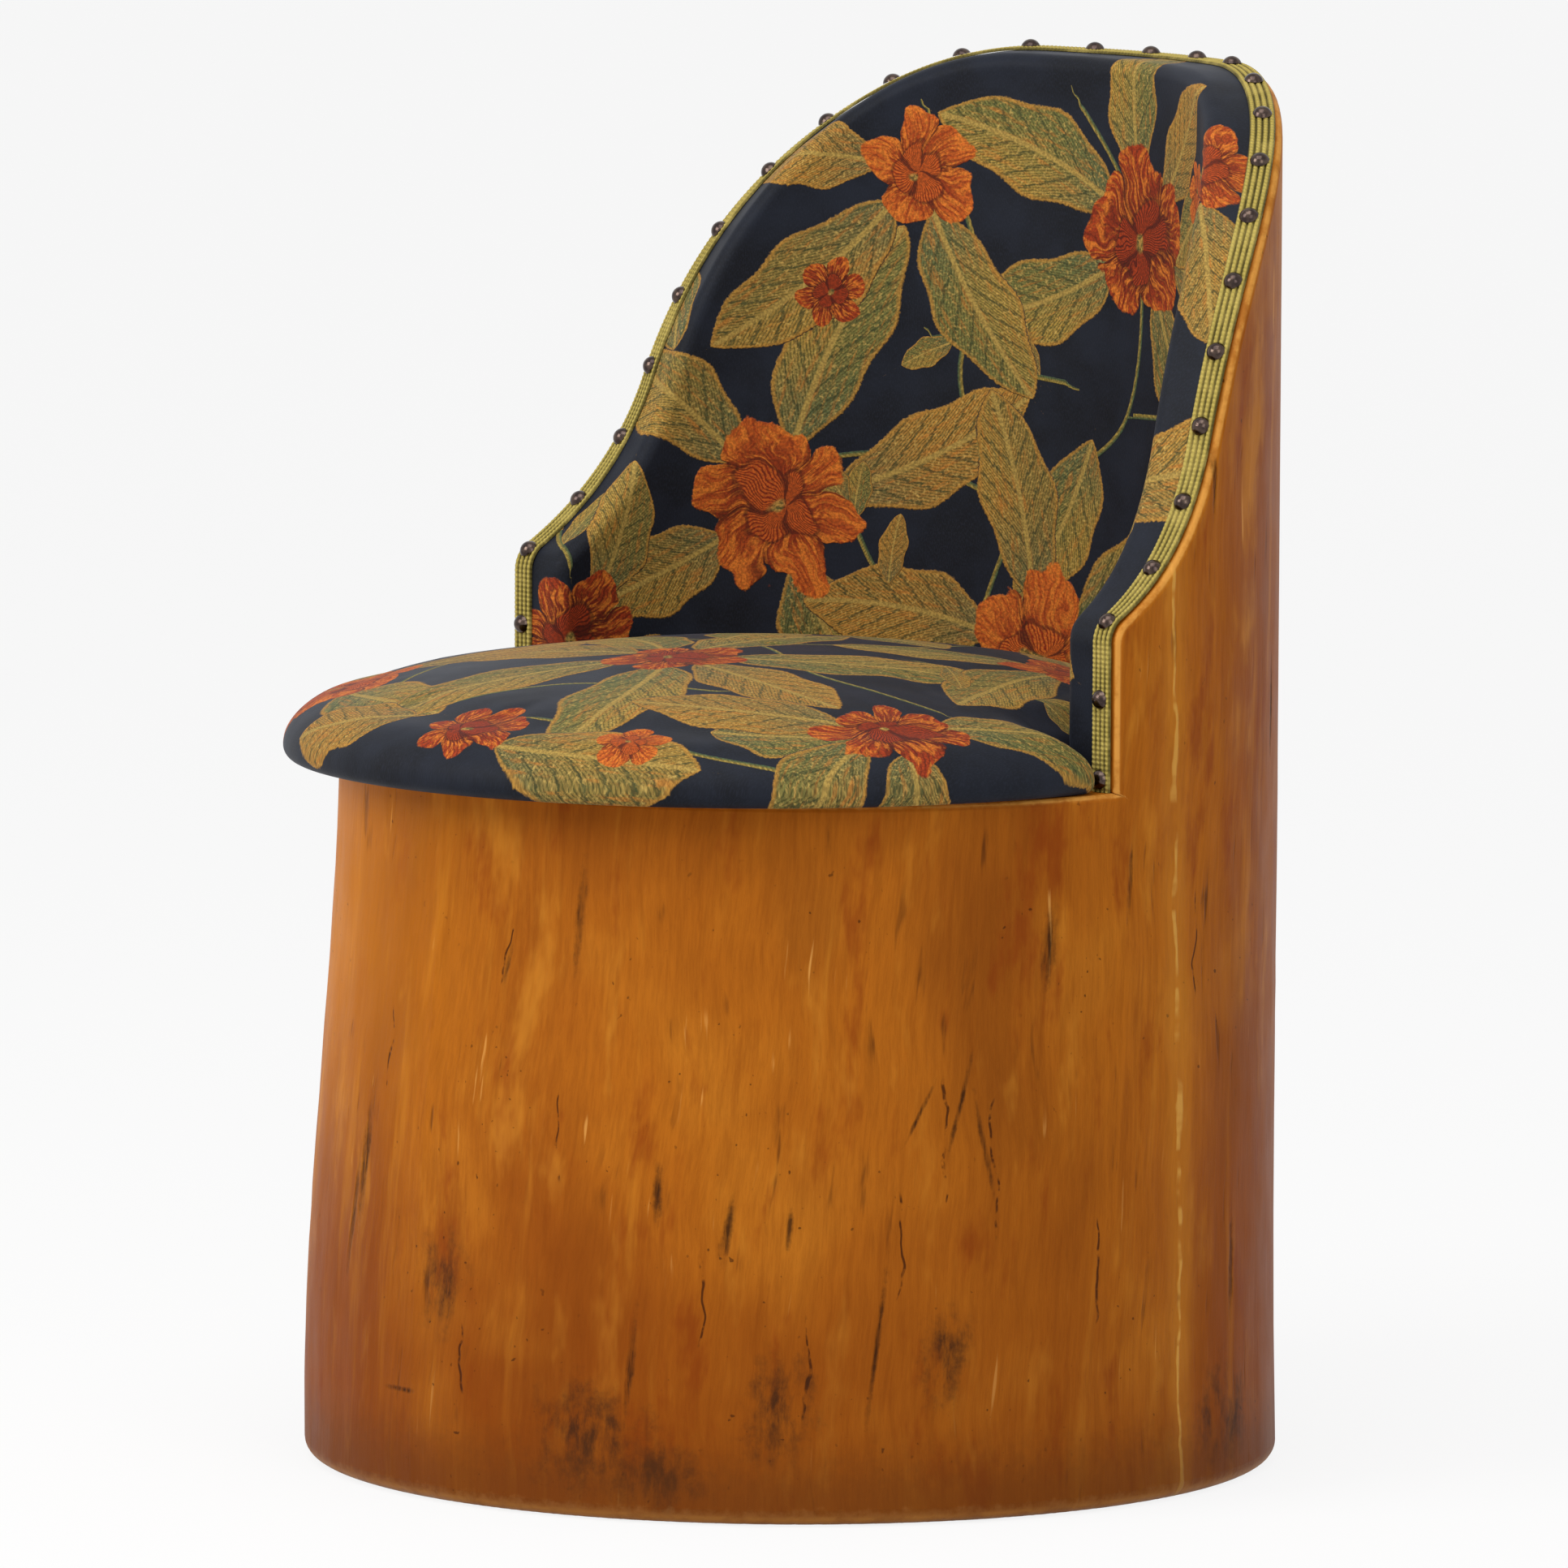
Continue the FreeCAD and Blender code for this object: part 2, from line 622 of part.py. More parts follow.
def seat_curves(inset):
    """The seat's outline from above, drawn a distance inside: front curve, horns, notches, rear."""
    front = size("seat_radius") - inset
    rear = value(SEAT_REAR) - inset
    notch = value(SEAT_NOTCH) - inset
    horn = size("horn_round") - min(inset, size("fabric"))
    nook = size("nook_round") + inset
    forward = V(0, -size("seat_forward"), 0)
    horn_y = notch - horn
    horn_centre = V(math.sqrt((front - horn) ** 2 - (horn_y - forward.y) ** 2), horn_y, 0)
    nook_y = notch + nook
    nook_centre = V(math.sqrt((rear + nook) ** 2 - nook_y ** 2), nook_y, 0)
    horn_start = forward + (horn_centre - forward) * (front / (front - horn))
    horn_end = V(horn_centre.x, notch, 0)
    nook_start = V(nook_centre.x, notch, 0)
    nook_end = nook_centre * (rear / (rear + nook))

    def flip(point):
        return V(-point.x, point.y, 0)

    return [
        arc_between(forward, flip(horn_start), horn_start),
        arc_between(horn_centre, horn_start, horn_end),
        Part.LineSegment(horn_end, nook_start),
        arc_between(nook_centre, nook_end, nook_start),
        arc_between(V(0, 0, 0), nook_end, flip(nook_end)),
        arc_between(flip(nook_centre), flip(nook_start), flip(nook_end)),
        Part.LineSegment(flip(nook_start), flip(horn_end)),
        arc_between(flip(horn_centre), flip(horn_end), flip(horn_start)),
    ]


def seat_sketch(body, name, inset, height):
    """The seat's outline in a sketch, a formula's distance inside, tied to the sheet."""
    sketch = sketch_on(body, name, "XY_Plane", height)
    distance = value(inset)
    curves = seat_curves(distance)
    chain(sketch, curves, SEAT_JOINS)
    fix_point(sketch, 0, 3, "0", "0 - seat_forward")
    sketch.addConstraint(Sketcher.Constraint("Coincident", 4, 3, -1, 1))
    fix(sketch, "Radius", (0, curves[0].Radius), "seat_radius - ( " + inset + " )")
    fix(sketch, "Radius", (4, curves[4].Radius), SEAT_REAR + " - ( " + inset + " )")
    for horn, nook in ((1, 3), (7, 5)):
        fix(sketch, "Radius", (horn, curves[horn].Radius), "horn_round - min( " + inset + " ; fabric )")
        fix(sketch, "Radius", (nook, curves[nook].Radius), "nook_round + " + inset)
    for line in (2, 6):
        sketch.addConstraint(Sketcher.Constraint("Horizontal", line))
        level = sketch.getPoint(line, 1).y
        fix(sketch, "DistanceY", (-1, 1, line, 1, level), SEAT_NOTCH + " - ( " + inset + " )")
    return sketch


ROLL_REACH = "( seat_radius - seat_roll + seat_lap )"
CROWN_ABOVE = "( seat_crown - seat_wall )"
CROWN_RADIUS = ("( " + ROLL_REACH + " ^ 2 + " + CROWN_ABOVE + " ^ 2 - seat_roll ^ 2 ) / ( 2 * ( "
                + CROWN_ABOVE + " - seat_roll ) )")


def crowned_seat(name, inset, bottom):
    """The padded form: the outline raised, then turned to a wide crown that rolls into its rim."""
    body = doc.addObject("PartDesign::Body", name)
    raised = body.newObject("PartDesign::Pad", name + "_raised")
    raised.Profile = seat_sketch(body, name + "_outline", inset, bottom)
    bind(raised, "Length", "seat_crown + over / 2")
    doc.recompute()
    section = sketch_on(body, name + "_section", "YZ_Plane")
    bind(section, "AttachmentOffset.Base.x", "0 - seat_forward")
    crown = value(CROWN_RADIUS) - value(inset)
    roll = size("seat_roll") - value(inset)
    top = V(0, size("ledge_height") + size("seat_crown") - value(inset), 0)
    crown_centre = top - V(0, crown, 0)
    roll_centre = V(value(ROLL_REACH), size("ledge_height") + size("seat_wall"), 0)
    meet = roll_centre + (roll_centre - crown_centre) * (roll / (crown - roll))
    low = roll_centre + V(roll, 0, 0)
    wide = size("seat_radius") + size("over")
    high = top.y + size("over")
    corners = [top, V(0, high, 0), V(wide, high, 0), V(wide, low.y, 0), low]
    chain(section, [arc_between(roll_centre, low, meet), arc_between(crown_centre, meet, top)], ((0, 2, 1, 1),))
    for one, two in zip(corners, corners[1:]):
        section.addGeometry(Part.LineSegment(one, two), False)
    for index in range(1, 5):
        section.addConstraint(Sketcher.Constraint("Coincident", index, 2, index + 1, 1))
    section.addConstraint(Sketcher.Constraint("Coincident", 5, 2, 0, 1))
    section.addConstraint(Sketcher.Constraint("PointOnObject", 1, 3, -2))
    fix_point(section, 0, 3, ROLL_REACH, "ledge_height + seat_wall")
    fix(section, "Radius", (0, roll), "seat_roll - ( " + inset + " )")
    fix_point(section, 1, 2, "0", "ledge_height + seat_crown - ( " + inset + " )")
    for index, way in ((2, "Vertical"), (3, "Horizontal"), (4, "Vertical"), (5, "Horizontal")):
        section.addConstraint(Sketcher.Constraint(way, index))
    fix_point(section, 4, 1, "seat_radius + over", "ledge_height + seat_crown + over - ( " + inset + " )")
    section.addConstraint(Sketcher.Constraint("Horizontal", 0, 1, 0, 3))
    dome_cut = body.newObject("PartDesign::Groove", name + "_dome")
    dome_cut.Profile = section
    dome_cut.ReferenceAxis = (section, ["V_Axis"])
    dome_cut.Angle = 360
    doc.recompute()
    bind(body, "Placement.Base.y", CENTRE_SHIFT)
    return body


# Seat board
board = doc.addObject("PartDesign::Body", "seat_board")
board_pad = board.newObject("PartDesign::Pad", "board_pad")
board_pad.Profile = seat_sketch(board, "board_outline", "board_inset", "ledge_height + fabric")
bind(board_pad, "Length", "board_thick")
doc.recompute()
node(board, "seat_board")

# Padding drawn over the board's top and edge
padding_form = crowned_seat("padding_form", "fabric", "ledge_height + fabric")
seat_padding = doc.addObject("Part::Cut", "seat_padding")
seat_padding.Base = padding_form
seat_padding.Tool = board
doc.recompute()
derived(seat_padding, "seat_padding")

# Cover: one fabric outside the padding, turned under the board
cover_form = crowned_seat("cover_form", "0", "ledge_height")
under = cover_form.newObject("PartDesign::Pocket", "turned_under")
under.Profile = seat_sketch(cover_form, "under_outline", "turn_under", "ledge_height")
under.Type = "Length"
under.Reversed = True
bind(under, "Length", "2 * fabric")
doc.recompute()
seat_cover = doc.addObject("Part::Cut", "seat_cover")
seat_cover.Base = cover_form
seat_cover.Tool = padding_form
doc.recompute()
derived(seat_cover, "seat_cover")

# Cleats under the board, as long as the hollow allows
BATTEN_TOP = "ledge_height + fabric"
BATTEN_HALF = "sqrt( ( hollow_radius - batten_room ) ^ 2 - ( batten_offset + batten_width / 2 ) ^ 2 )"
for side, label in ((-1, "seat_batten_left"), (1, "seat_batten_right")):
    cleat = doc.addObject("Part::Box", label)
    bind(cleat, "Length", "batten_width")
    bind(cleat, "Width", "2 * " + BATTEN_HALF)
    bind(cleat, "Height", "batten_depth")
    cleat.Label = label
    bind(cleat, "Placement.Base.x", "%d * batten_offset - batten_width / 2" % side)
    bind(cleat, "Placement.Base.y", CENTRE_SHIFT + " - " + BATTEN_HALF)
    bind(cleat, "Placement.Base.z", BATTEN_TOP + " - batten_depth")
    NODES.append(cleat)
doc.recompute()

# Countersunk screws up through the cleats into the board
screw = turned("screw", [
    ("0", "0"),
    ("screw_head / 2", "0"),
    ("screw_shank / 2", "( screw_head - screw_shank ) / 2"),
    ("screw_shank / 2", "screw_length - screw_shank"),
    ("0", "screw_length"),
])
screw_y = value(BATTEN_HALF) - size("screw_inset")
screw_z = value(BATTEN_TOP) - size("batten_depth")
screw_places = []
for side in (-1, 1):
    for end in (-1, 1):
        spot = V(side * size("batten_offset"), end * screw_y, screw_z)
        screw_places.append(FreeCAD.Placement(spot, FreeCAD.Rotation()))
group(screw, "batten_screws", screw_places)

# Tacks up through the turned-under fabric into the board
tack = turned("tack", [
    ("0", "0"),
    ("tack_head / 2", "0"),
    ("tack_head / 2", "tack_thick"),
    ("tack_shank / 2", "tack_thick"),
    ("tack_shank / 2", "tack_thick + tack_length - tack_shank"),
    ("0", "tack_thick + tack_length"),
])
tack_line = Part.Wire([curve.toShape() for curve in seat_curves(size("tack_inset"))])
tack_z = size("ledge_height") + size("fabric") - size("tack_thick")
tack_places = []
for spot in tack_line.discretize(Number=int(size("tack_count")) + 1)[:-1]:
    tack_places.append(FreeCAD.Placement(V(spot.x, spot.y, tack_z), FreeCAD.Rotation()))
group(tack, "seat_tacks", tack_places)

doc.recompute()
for obj in doc.Objects:
    broken = [word for word in obj.State if word in ("Invalid", "Error")]
    if broken:
        raise RuntimeError("%s is %s" % (obj.Name, broken))
    if hasattr(obj, "Shape") and (obj.Shape.isNull() or not obj.Shape.isValid()):
        raise RuntimeError("%s has no valid shape" % obj.Name)

os.makedirs("parts", exist_ok=True)
for piece in NODES:
    piece.Shape.exportStep("parts/%s.step" % piece.Label)
    print(piece.Label, round(piece.Shape.Volume), len(piece.Shape.Solids), "solids")
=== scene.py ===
import math

import bmesh
import bpy
import numpy as np
from mathutils import Matrix, Vector
from mathutils.bvhtree import BVHTree


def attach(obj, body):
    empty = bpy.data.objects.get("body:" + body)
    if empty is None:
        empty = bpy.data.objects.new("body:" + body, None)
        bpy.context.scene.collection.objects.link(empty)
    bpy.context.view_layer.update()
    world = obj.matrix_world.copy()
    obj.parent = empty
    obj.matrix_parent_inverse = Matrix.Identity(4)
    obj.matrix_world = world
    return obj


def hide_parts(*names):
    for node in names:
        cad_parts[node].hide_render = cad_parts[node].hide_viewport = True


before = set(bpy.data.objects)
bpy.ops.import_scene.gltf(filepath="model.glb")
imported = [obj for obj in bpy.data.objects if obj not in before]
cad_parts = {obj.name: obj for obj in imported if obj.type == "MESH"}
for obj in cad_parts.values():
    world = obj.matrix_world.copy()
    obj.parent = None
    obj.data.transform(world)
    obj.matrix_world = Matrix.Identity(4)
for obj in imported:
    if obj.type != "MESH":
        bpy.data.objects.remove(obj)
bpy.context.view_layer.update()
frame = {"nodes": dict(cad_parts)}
nodes = frame["nodes"]
scene = bpy.context.scene

# Sizes in metres, the same as the CAD's
AXIS = 0.020
LEDGE = 0.386
TOP = 0.756
LOG_R = 0.257
RISE = 0.080
SHOULDER = 0.014
SWEEP = 0.175
SWEEP_BACK = 0.085
SWEEP_RISE = 0.106
BOW_BACK = 0.220
BOW_DROP = 0.026
FABRIC = 0.0012
LINING_R = 0.2138
SHELL_R = 0.229
BRAID_IN = 0.239
BRAID_OUT = 0.253
NOTCH = 0.0102
FRONT_Y = -0.021
FRONT_R = 0.256
REAR_R = 0.2116
BOARD_TOP = 0.3992


def srgb(red, green, blue):
    """A linear colour from 0 to 255 display values."""
    out = []
    for value in (red, green, blue):
        value = value / 255
        out.append(value / 12.92 if value <= 0.04045 else ((value + 0.055) / 1.055) ** 2.4)
    return (*out, 1.0)


class Value:
    """A node's output, with the usual arithmetic."""

    def __init__(self, nodes, socket):
        self.math = nodes.math
        self.socket = socket

    def __add__(self, other):
        return self.math("ADD", self, other)

    def __radd__(self, other):
        return self.math("ADD", other, self)

    def __sub__(self, other):
        return self.math("SUBTRACT", self, other)

    def __rsub__(self, other):
        return self.math("SUBTRACT", other, self)

    def __mul__(self, other):
        return self.math("MULTIPLY", self, other)

    def __truediv__(self, other):
        return self.math("DIVIDE", self, other)

    def __abs__(self):
        return self.math("ABSOLUTE", self)


class Nodes:
    """A node tree of a material or world, with short ways to add the nodes used here."""

    def __init__(self, name, kind="materials"):
        self.owner = getattr(bpy.data, kind).new(name)
        self.owner.use_nodes = True
        self.tree = self.owner.node_tree
        self.shader = self.tree.nodes.get("Principled BSDF")

    def add(self, kind, **settings):
        node = self.tree.nodes.new(kind)
        for key, value in settings.items():
            setattr(node, key, value)
        return node

    def put(self, socket, value):
        if isinstance(value, Value):
            self.tree.links.new(value.socket, socket)
        else:
            socket.default_value = value

    def simple(self, kind, *values, **settings):
        """The first output of a node whose sockets take the values in order."""
        node = self.add(kind, **settings)
        for socket, value in zip(node.inputs, values):
            self.put(socket, value)
        return Value(self, node.outputs[0])

    def math(self, operation, *values):
        return self.simple("ShaderNodeMath", *values, operation=operation)

    def sine(self, value):
        return self.math("SINE", value)

    def most(self, first, *others):
        """The largest of the values."""
        for value in others:
            first = self.math("MAXIMUM", first, value)
        return first

    def hypot(self, first, second):
        return self.math("SQRT", first * first + second * second)

    def ramp(self, value, low, high, start=0.0, end=1.0):
        """A smooth step from start at low to end at high."""
        values = (value, low, high, start, end)
        return self.simple("ShaderNodeMapRange", *values, interpolation_type="SMOOTHSTEP")

    def mix(self, factor, first, second):
        node = self.add("ShaderNodeMix", data_type="RGBA")
        self.put(node.inputs[0], factor)
        self.put(node.inputs[6], first)
        self.put(node.inputs[7], second)
        return Value(self, node.outputs[2])

    def fall(self, value, low, high, start=1.0):
        return self.ramp(value, low, high, start, 0.0)

    def tint(self, under, over, value, low, high, start=0.0, end=1.0):
        """Lay one colour over another by a smooth step of a value."""
        return self.mix(self.ramp(value, low, high, start, end), under, over)

    def vector(self, x, y, z):
        return self.simple("ShaderNodeCombineXYZ", x, y, z)

    def split(self, output):
        node = self.add("ShaderNodeSeparateXYZ")
        self.tree.links.new(output, node.inputs[0])
        return [Value(self, output) for output in node.outputs]

    def noise(self, vector, scale, detail=3.0, rough=0.55, warp=0.0):
        node = self.add("ShaderNodeTexNoise")
        names = ("Vector", "Scale", "Detail", "Roughness", "Distortion")
        for name, value in zip(names, (vector, scale, detail, rough, warp)):
            self.put(node.inputs[name], value)
        return Value(self, node.outputs[0])

    def place(self):
        return self.split(self.add("ShaderNodeTexCoord").outputs["Object"])

    def uv(self, layer):
        return self.split(self.add("ShaderNodeUVMap", uv_map=layer).outputs[0])[:2]

    def bump(self, height, depth, strength=1.0, under=None):
        node = self.add("ShaderNodeBump")
        self.put(node.inputs["Strength"], strength)
        self.put(node.inputs["Distance"], depth)
        self.put(node.inputs["Height"], height)
        if under is not None:
            self.put(node.inputs["Normal"], under)
        return Value(self, node.outputs[0])

    def finish(self, colour, rough, normal=None, **fixed):
        self.put(self.shader.inputs["Base Color"], colour)
        self.put(self.shader.inputs["Roughness"], rough)
        if normal is not None:
            self.put(self.shader.inputs["Normal"], normal)
        for name, value in fixed.items():
            self.shader.inputs[name.replace("_", " ")].default_value = value
        return self.owner

    def seen(self):
        """1 for the rays that see the backdrop, 0 for those that light the part."""
        path = self.add("ShaderNodeLightPath")
        return self.most(*[Value(self, path.outputs[kind]) for kind in SEEN_RAYS])

    def blend(self, share, first, second, output):
        """The output takes on the second shader by a share, else the first."""
        shaders = [Value(self, node.outputs[0]) for node in (first, second)]
        both = self.simple("ShaderNodeMixShader", share, *shaders)
        self.put(self.tree.nodes[output].inputs[0], both)


# The radius at which angles round the log become lengths, and where the drying check runs
GRAIN_R = 0.26
CHECK_ANGLE = 100


def log_wood():
    """Aged varnished pine: upright grain, short dark scars, a filled drying check, a stained foot and a
    painted highlight on the left front.
    """
    n = Nodes("log_wood")
    x, y, z = n.place()
    side = n.math("ARCTAN2", x, AXIS - y)
    arc = side * GRAIN_R
    place = n.vector(x, y, z)
    depth = n.hypot(x, y - AXIS)
    sway = (n.noise(place, 7, 2, 0.5) - 0.5) * 0.022
    lean = side + (sway - z * 0.05) / GRAIN_R
    lean_x = depth * n.sine(lean)
    lean_y = depth * n.math("COSINE", lean)
    grain = n.vector(lean_x, lean_y, z * 0.075)
    tall = n.vector(x, y, z * 0.3)
    fleck = n.vector(lean_x, lean_y, z * 0.14)
    broad = n.noise(tall, 6.5, 4, 0.6, 0.5)
    colour = n.tint(srgb(140, 71, 14), srgb(172, 98, 22), broad, 0.30, 0.70)
    patch = n.noise(place, 9, 3, 0.55)
    colour = n.tint(colour, srgb(188, 116, 32), patch, 0.50, 0.72, 0, 0.55)
    dusk = n.noise(n.vector(y, x, z * 0.5), 7, 3, 0.6)
    colour = n.tint(colour, srgb(116, 57, 11), dusk, 0.52, 0.75, 0, 0.6)
    fine = n.noise(grain, 320, 6, 0.8)
    colour = n.tint(colour, srgb(108, 52, 8), fine, 0.34, 0.64, 0.30, 0.0)
    lines = n.noise(grain, 90, 5, 0.7, 0.4)
    colour = n.tint(colour, srgb(122, 58, 8), lines, 0.52, 0.72, 0, 0.34)
    pale = n.noise(grain, 48, 4, 0.6)
    colour = n.tint(colour, srgb(206, 134, 40), pale, 0.56, 0.74, 0, 0.34)
    rust = n.noise(n.vector(lean_x, lean_y, z * 0.35), 34, 4, 0.65)
    colour = n.tint(colour, srgb(124, 48, 9), rust, 0.54, 0.72, 0, 0.6)
    honey = n.noise(n.vector(lean_y, lean_x, z * 0.3), 26, 4, 0.65)
    colour = n.tint(colour, srgb(206, 136, 44), honey, 0.55, 0.72, 0, 0.42)
    nick = n.noise(n.vector(lean_x, lean_y, z * 0.05), 210, 2, 0.5)
    nicks = n.ramp(nick, 0.68, 0.76) * n.ramp(n.noise(place, 18, 2, 0.5), 0.5, 0.62)
    colour = n.mix(nicks * 0.5, colour, srgb(226, 164, 84))
    low = n.fall(z + (patch - 0.5) * 0.25, 0.02, 0.24, 0.52)
    colour = n.mix(low, colour, srgb(118, 54, 8))
    # Painted highlight: the wood is lighter on the left front, from a little above the foot upward,
    # where the light falls
    facing = abs(side + 0.65)
    painted_highlight = n.fall(facing, 0.15, 0.95) * n.ramp(z, 0.12, 0.3)
    colour = n.mix(painted_highlight * 0.45, colour, srgb(220, 136, 28))
    dash = n.noise(fleck, 95, 3, 0.6)
    where = n.noise(place, 14, 2, 0.5)
    dashes = n.ramp(dash, 0.61, 0.74) * n.ramp(where, 0.44, 0.6)
    colour = n.mix(dashes * 0.72, colour, srgb(64, 30, 10))
    pores = n.ramp(n.noise(place, 260, 1, 0.5), 0.73, 0.78) * n.ramp(patch, 0.45, 0.6)
    colour = n.mix(pores * 0.7, colour, srgb(52, 25, 9))

    wander = n.noise(n.vector(z, z, side), 11, 3, 0.6) - 0.5
    ragged = n.noise(place, 150, 4, 0.7) - 0.5

    def mark(angle, height, width, tall_by, lean=0.0):
        """A long soft-ended mark on the log, at an angle in degrees round from the front."""
        width = width / 1000
        up = z - height / 1000
        across = arc - math.radians(angle) * GRAIN_R - up * lean + wander * (width * 2.2)
        away = n.hypot(across / width, up / (tall_by / 1000)) + ragged * 1.3
        return n.fall(away, 0.15, 1.25)

    scars = n.most(*[mark(*spot) for spot in SCARS])
    scars = scars * n.ramp(n.noise(grain, 420, 3, 0.6), 0.34, 0.62, 0.35)
    colour = n.mix(scars * 0.9, colour, srgb(44, 24, 12))
    hook = (n.noise(n.vector(z, arc, 0.7), 30, 2, 0.5) - 0.5) * 0.02

    def scratch(angle, height, width, tall_by):
        """A thin broken line on the log."""
        width = width / 1000
        across = arc - math.radians(angle) * GRAIN_R + hook
        up = abs((z - height / 1000) / (tall_by / 1000))
        line = n.fall(abs(across), width * 0.4, width)
        return line * n.fall(up, 0.8, 1.0)

    thin = n.most(*[scratch(*spot) for spot in SCRATCHES])
    thin = thin * n.ramp(n.noise(place, 95, 3, 0.6), 0.4, 0.55)
    colour = n.mix(thin * 0.85, colour, srgb(58, 26, 10))
    stain = n.most(*[mark(*spot) for spot in STAINS])
    cloud = n.ramp(n.noise(n.vector(lean_x, lean_y, z * 0.4), 62, 5, 0.7), 0.36, 0.62)
    colour = n.mix(stain * cloud * 0.9, colour, srgb(54, 32, 18))

    run = arc + wander * 0.018
    check = abs(run - math.radians(CHECK_ANGLE) * GRAIN_R)
    broken = n.ramp(n.noise(n.vector(z, 0.3, 0.1), 34, 3, 0.7), 0.36, 0.5)
    filler = n.fall(check, 0.0006, 0.002) * broken
    colour = n.tint(colour, srgb(204, 134, 42), check, 0.003, 0.016, 0.3, 0.0)
    colour = n.mix(filler * 0.62, colour, srgb(216, 164, 78))
    worn = n.fall(z + ragged * 0.03, 0.012, 0.055, 0.5)
    colour = n.mix(worn, colour, srgb(92, 50, 18))
    edge = n.fall(z + ragged * 0.012, 0.004, 0.01, 0.2)
    colour = n.mix(edge, colour, srgb(190, 138, 78))

    nx, ny = n.split(n.add("ShaderNodeTexCoord").outputs["Normal"])[:2]
    radial = nx * (x / depth) + ny * ((y - AXIS) / depth)
    corner = n.ramp(radial, 0.1, 0.45) * n.fall(radial, 0.8, 0.97)
    rubbed = corner * n.ramp(n.noise(place, 55, 4, 0.7), 0.34, 0.58, 0.25, 0.85)
    rubbed = rubbed * n.ramp(z, 0.02, 0.06, 0.25)
    colour = n.mix(rubbed, colour, srgb(212, 150, 70))

    rough = 0.36 + n.noise(place, 30, 4, 0.6) * 0.16 + scars * 0.15
    dents = n.noise(n.vector(x, y, z * 0.45), 15, 2, 0.5)
    normal = n.bump(dents, 0.010, 0.55)
    height = fine * 0.24 - scars * 0.9 + lines * 0.3 - (dashes + thin) * 0.4 + filler * 0.25
    normal = n.bump(height, 0.0011, 0.7, normal)
    return n.finish(colour, rough, normal, Specular_IOR_Level=0.04)


# Angle round from the front in degrees; height, half width and half height in millimetres; lean
SCARS = [
    (22, 322, 3.2, 30, 0.05), (80, 305, 5, 24, 0.1), (-12, 178, 4.2, 36, 0.06),
    (-14, 145, 3, 30, 0.1), (33, 178, 3.4, 17, -0.05), (41, 158, 3.2, 20, 0.15),
    (48, 160, 2.2, 12, 0.1), (68, 226, 1.6, 28, 0.25), (71, 200, 1.8, 30, -0.2),
    (63, 220, 1.4, 16, 0.5), (92, 336, 1.8, 20, 0.1), (12, 292, 1.8, 12, 0.2), (-2, 58, 10, 1.6, 0),
    (30, 85, 2.2, 30, 0.08), (58, 98, 2, 40, 0.12), (128, 420, 3, 30, 0.05),
    (150, 220, 4, 26, 0.08), (172, 520, 3.6, 30, 0.04), (-60, 260, 3.6, 28, 0.06),
    (-95, 150, 4.4, 34, -0.06), (-130, 400, 3.6, 30, 0.05), (-160, 180, 3.2, 24, 0.1),
    (112, 120, 3, 30, 0.03), (108, 550, 2.2, 22, 0.05),
]
# The same, with no lean
SCRATCHES = [
    (66, 205, 0.9, 36), (72, 190, 1, 40), (61, 150, 0.8, 30), (20, 205, 0.8, 26),
    (12, 300, 0.8, 18), (38, 120, 0.9, 26), (50, 85, 0.8, 30), (8, 80, 0.9, 20),
    (-8, 240, 0.8, 24), (86, 130, 0.9, 30), (104, 300, 0.8, 30), (-40, 160, 0.9, 34),
    (-80, 300, 0.9, 30), (140, 330, 0.9, 36), (165, 130, 0.9, 30), (-120, 230, 0.9, 30),
]
# The same, with a lean
STAINS = [
    (24, 45, 30, 32, 0), (33, 24, 26, 20, 0), (47, 62, 18, 30, 0), (4, 120, 16, 30, 0),
    (66, 90, 14, 30, 0.05), (-60, 40, 40, 30, 0), (110, 40, 30, 30, 0), (170, 50, 40, 40, 0),
    (-130, 50, 40, 30, 0),
]


def bare_wood():
    """Plain sawn pine for the seat's board and battens, with grain along Y."""
    n = Nodes("board_wood")
    x, y, z = n.place()
    grain = n.vector(x, y * 0.05, z)
    rings = n.noise(grain, 46, 4, 0.6, 0.4)
    colour = n.tint(srgb(196, 152, 98), srgb(160, 112, 62), rings, 0.35, 0.65)
    fine = n.noise(grain, 260, 4, 0.7)
    colour = n.tint(colour, srgb(122, 80, 42), fine, 0.4, 0.7, 0.3, 0.0)
    normal = n.bump(fine, 0.0005, 0.6)
    return n.finish(colour, 0.6 + rings * 0.15, normal)


def nail_metal():
    """Dark polished bronze, a little patchy."""
    n = Nodes("nail_metal")
    x, y, z = n.place()
    place = n.vector(x, y, z)
    cloud = n.noise(place, 300, 3, 0.5)
    colour = n.tint(srgb(60, 50, 48), srgb(88, 74, 66), cloud, 0.35, 0.68)
    rough = 0.16 + n.noise(place, 500, 3, 0.6) * 0.1
    return n.finish(colour, rough, None, Metallic=1.0)


def steel():
    """Zinced steel, finely mottled."""
    n = Nodes("steel")
    x, y, z = n.place()
    place = n.vector(x, y, z * 0.2)
    cloud = n.noise(place, 500, 4, 0.6)
    colour = n.mix(cloud, srgb(122, 122, 120), srgb(178, 178, 174))
    return n.finish(colour, 0.26 + cloud * 0.2, n.bump(cloud, 0.0002, 0.4), Metallic=1.0)


# The braid's cords: how many, the length of one twist, and the lean of the plies across a cord
CORDS = 4
TWIST = 0.0026
PLY_LEAN = 2.6


